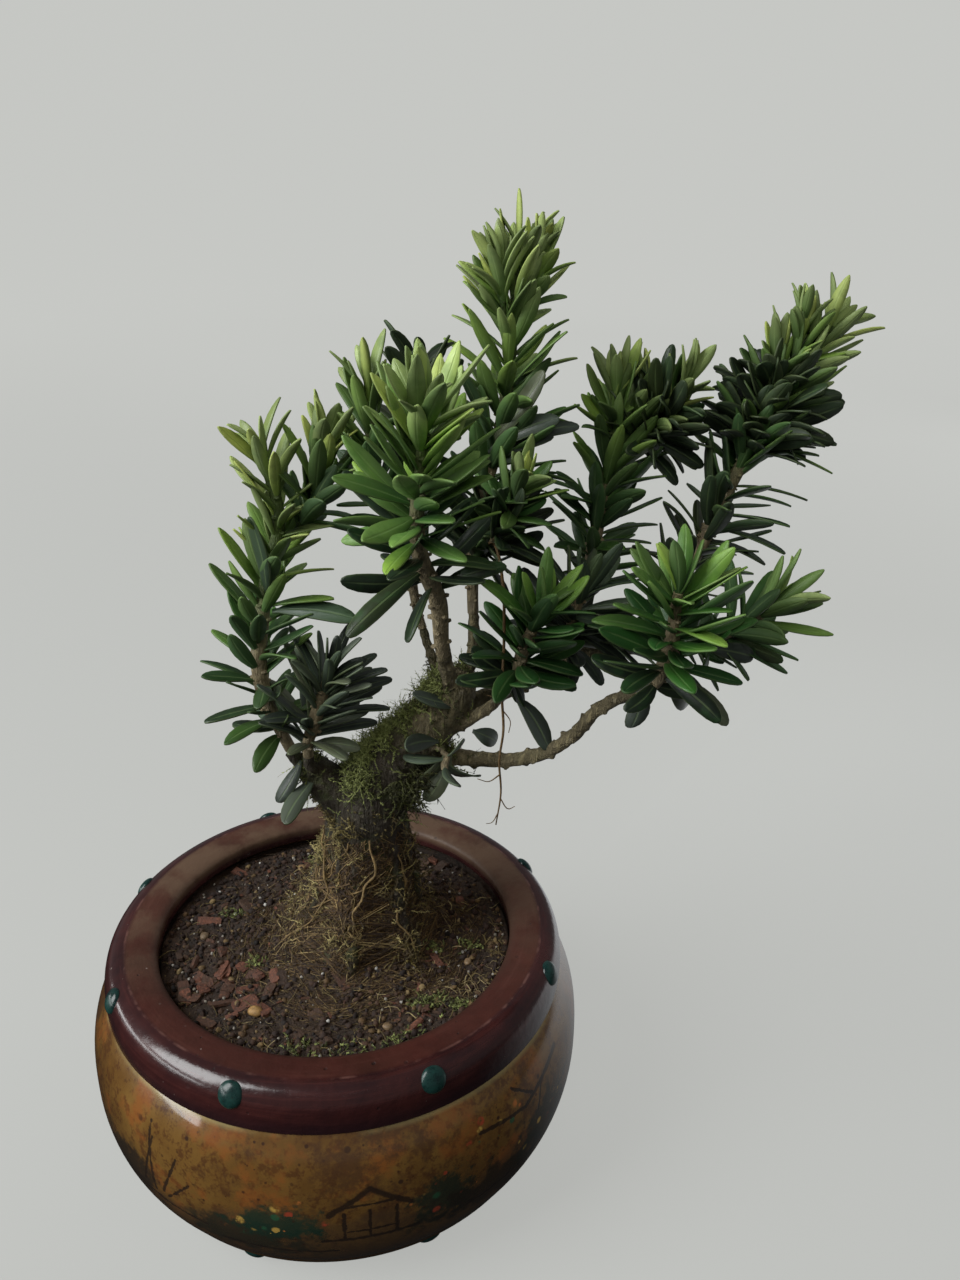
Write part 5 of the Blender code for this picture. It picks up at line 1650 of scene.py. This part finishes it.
moss = {
    "shoots": 3300,
    "footShoots": 3300,
    "soilShoots": 620,
    "length": 1.7,       # millimetres
    # leaflets, their length, thickness and curl of the short and of the long airy shoots
    "short": (8, 0.34, 0.10, (0.2, 0.7)),
    "long": (8, 0.16, 0.05, (0.6, 1.5)),
}


def mossMaterial(name, stops, shadow):
    material, tree, shader, where = newMaterial(name, 0.8)
    tone = addNode(tree, "Attribute", attribute_name="tone").outputs["Fac"]
    ramp = addNode(tree, "ValToRGB", {"Fac": tone})
    elements = ramp.color_ramp.elements
    for place, _ in stops[1:-1]:
        elements.new(place)
    for element, (_, tint) in zip(elements, stops):
        element.color = (*tint, 1)
    fine = useGroup(tree, mottleGroup, {"Vector": where, "Scale": 900.0, "Contrast": 2.4})["Value"]
    color = mixColor(tree, compute(tree, "MULTIPLY", fine, 0.5), ramp.outputs[0], shadow)
    tree.links.new(color, shader.inputs["Base Color"])
    tree.links.new(step(tree, fine, 0.0, 1.0, (0.65, 0.9)), shader.inputs["Roughness"])
    addBump(tree, shader, fine, 0.1 * mm, 0.6)
    return material


def mossTemplate(draw, kind):
    # a short stem with small pointed leaflets round it, one unit long
    leaflets, reach, thick, curl = moss[kind]
    shape = bmesh.new()
    bmesh.ops.create_cone(shape, segments=3, radius1=0.45 * thick, radius2=0.2 * thick, depth=1)
    bmesh.ops.subdivide_edges(shape, edges=[edge for edge in shape.edges if edge.calc_length() > 0.5], cuts=2)
    bmesh.ops.translate(shape, vec=(0, 0, 0.5), verts=shape.verts)
    for number in range(leaflets):
        blade = bmesh.ops.create_cone(shape, segments=3, radius1=thick, radius2=0.0, depth=reach)["verts"]
        place = Matrix.Translation((0, 0, 0.12 + 0.82 * number / leaflets))
        place = place @ Matrix.Rotation(goldenTurn * number + draw.uniform(-0.3, 0.3), 4, "Z")
        place = place @ Matrix.Rotation(math.radians(draw.uniform(30, 75)), 4, "Y") @ Matrix.Translation((0, 0, reach / 2))
        bmesh.ops.transform(shape, matrix=place @ Matrix.Diagonal((0.5, 1, 1, 1)), verts=blade)
    # the whole shoot curls over
    bend = draw.uniform(*curl)
    for vert in shape.verts:
        vert.co.x += bend * vert.co.z ** 2
        vert.co.z *= 1 - 0.3 * bend * vert.co.z
    bmesh.ops.remove_doubles(shape, verts=shape.verts, dist=0.001)
    mesh = meshOf(shape, "mossShoot")
    markMesh(mesh, "tone")
    return mesh


def limbAmount(place, normal):
    # how thickly moss grows at a point of the wood: most on the upper left of the main limb
    x, z = place.x / mm, place.z / mm
    limb = 1 if 87 < z < 116 and -6 < x < 30 and x < 32 - (116 - z) * 0.25 else 0
    facing = max(0, 0.85 * normal.z - 0.75 * normal.x + 0.02) * (1 - 0.75 * abs(normal.y))
    fork = math.exp(-(((x - 3) / 8) ** 2) - (((z - 90) / 5) ** 2)) * max(0, normal.z + 0.05) * (1 - 0.6 * abs(normal.y))
    hanging = math.exp(-(((x - 19) / 5) ** 2) - (((z - 90) / 5) ** 2)) * max(0, 0.3 + normal.x - normal.z * 0.4)
    patch = max(0.0, noise.noise(place * 230) + 0.35)
    return (limb * (facing * 2.0 + 0.04) + 1.3 * fork + 2.8 * hanging) * patch


def footAmount(place, normal):
    # dry moss and fibre on the foot, in patches with dark hollows between them
    z = place.z / mm
    if not 49 < z < 86 or place.x > 21 * mm:
        return 0.0
    return max(0.0, noise.noise(place * 240) + 0.06) * (1.2 - 0.9 * normal.x)


def growMoss(name, amount, count, length, airy, tones, draw, material):
    faces = list(woodMesh.polygons)
    weights = [face.area * amount(face.center, face.normal) for face in faces]
    templates = [mossTemplate(draw, "short") for _ in range(5)]
    curls = [mossTemplate(draw, "long") for _ in range(6)]
    shape = bmesh.new()
    for face in draw.choices(faces, weights, k=count):
        centre, normal = face.center.copy(), face.normal
        way = (normal * 0.8 + Vector((draw.gauss(0, 0.45), draw.gauss(0, 0.45), 0.35 + draw.gauss(0, 0.4)))).normalized()
        # how far the spot faces up and left, towards the window lamp; it also sets painted light and shade in the tone
        edge = max(0.2, 0.8 * normal.z - 0.6 * normal.x)
        under = centre.x > 12 * mm and centre.z < 96 * mm
        long = draw.random() < (0.7 if under else airy * edge)
        size = length * (draw.uniform(1.2, 2.4) if long else draw.uniform(0.5, 1.1)) * (1.5 if under else 1) * mm
        turn = way.to_track_quat("Z", "Y").to_matrix().to_4x4() @ Matrix.Rotation(draw.uniform(0, math.tau), 4, "Z")
        # dry and brown under the limb; painted light and shade elsewhere: lighter facing up and left, darker facing
        # down or right
        dry = 0.45 if under else 0.4 * (1 - edge) + 0.2 * max(0, normal.x)
        tone = min(max(draw.gauss(tones - dry + 0.34 * edge + (0.12 if long else 0), 0.24), 0), 1)
        place = Matrix.Translation(centre - normal * 0.15 * mm) @ turn @ Matrix.Scale(size, 4)
        stamp(shape, draw.choice(curls if long else templates), place, tone=tone)
    finishPiece(name, meshOf(shape), [material], "bark")
    return templates


def makeMoss():
    draw = random.Random(8)
    stops = ((0.0, (0.026, 0.021, 0.009)), (0.4, (0.060, 0.062, 0.018)), (0.75, (0.150, 0.170, 0.044)), (1.0, (0.32, 0.36, 0.11)))
    material = mossMaterial("moss", stops, (0.020, 0.024, 0.006))
    templates = growMoss("limbMoss", limbAmount, moss["shoots"], moss["length"], 0.4, 0.6, draw, material)
    stops = ((0.0, (0.020, 0.012, 0.005)), (0.4, (0.080, 0.058, 0.018)), (0.75, (0.200, 0.155, 0.044)), (1.0, (0.46, 0.38, 0.15)))
    dry = mossMaterial("dryMoss", stops, (0.022, 0.014, 0.006))
    growMoss("footMoss", footAmount, moss["footShoots"], 1.35, 0.4, 0.66, draw, dry)
    shape = bmesh.new()
    tufts = (
        (18.4, -24.7, 3.2), (17.0, -26.0, 2.2), (2.6, -35.6, 5.5), (-8, -34.4, 4.0), (12, -34.6, 3.6), (24, -27, 3.0),
        (30, -8, 2.2), (-24, 12, 3.0), (12, 27, 3.4), (-4, 31, 2.4), (-18, -8, 2.0), (20, -10, 3.0),
    )
    for number in range(moss["soilShoots"]):
        x, y, reach = draw.choice(tufts)
        x, y = (x + draw.gauss(0, reach * 0.6)) * mm, (y + draw.gauss(0, reach * 0.35)) * mm
        if math.hypot(x, y) > soil["edge"] - 0.5 * mm:
            continue
        size = 1.5 * draw.uniform(0.5, 1.3) * mm
        way = Vector((draw.gauss(0, 0.6), draw.gauss(0, 0.6), 1)).normalized()
        place = Matrix.Translation((x, y, soilHeight(x, y) - 0.1 * mm)) @ way.to_track_quat("Z", "Y").to_matrix().to_4x4()
        stamp(shape, draw.choice(templates), place @ Matrix.Scale(size, 4), tone=min(max(draw.gauss(0.66, 0.28), 0), 1))
    finishPiece("soilMoss", meshOf(shape), [material], "soil")


aerialRoot = {
    # a dry root that hangs from the middle of the crown: points and radius in millimetres
    "route": (
        (33.6, 3.4, 139.8, 0.36), (34.4, -4.0, 141.4, 0.34), (34.8, -9.6, 136.0, 0.32), (34.9, -11.6, 125.2, 0.30),
        (34.6, -12.6, 112.7, 0.28), (34.9, -13.2, 106.0, 0.27), (34.1, -13.8, 99.6, 0.24), (34.5, -14.2, 92.0, 0.20),
        (33.5, -14.8, 84.8, 0.14),
    ),
    "twigs": (
        ((34.2, -14.2, 96.4, 0.16), (31.8, -14.6, 95.2, 0.10), (29.6, -14.2, 95.8, 0.08)),
        ((34.3, -14.4, 91.0, 0.14), (36.2, -14.8, 88.4, 0.10), (37.4, -14.6, 88.8, 0.07)),
        ((33.9, -14.6, 87.4, 0.12), (32.4, -15.2, 85.6, 0.08), (31.4, -15.0, 85.4, 0.06)),
        ((34.7, -12.8, 110.4, 0.16), (36.2, -13.4, 108.2, 0.10), (36.0, -13.2, 105.4, 0.08)),
        ((34.8, -12.4, 114.6, 0.16), (33.0, -12.8, 113.4, 0.10), (31.6, -12.4, 113.8, 0.08)),
    ),
}


def makeAerialRoot(skin):
    routes = [smoothRoute(aerialRoot["route"], 8)] + [smoothRoute(points, 5) for points in aerialRoot["twigs"]]
    mesh = tubes(routes, 2)
    markMesh(mesh, "tone")
    mesh.attributes["tone"].data.foreach_set("value", [0.62] * len(mesh.vertices))
    finishPiece("aerialRoot", mesh, [skin], "bark")


makeMoss()
makeAerialRoot(bpy.data.materials["rootSkin"])
print("moss and aerial root made")
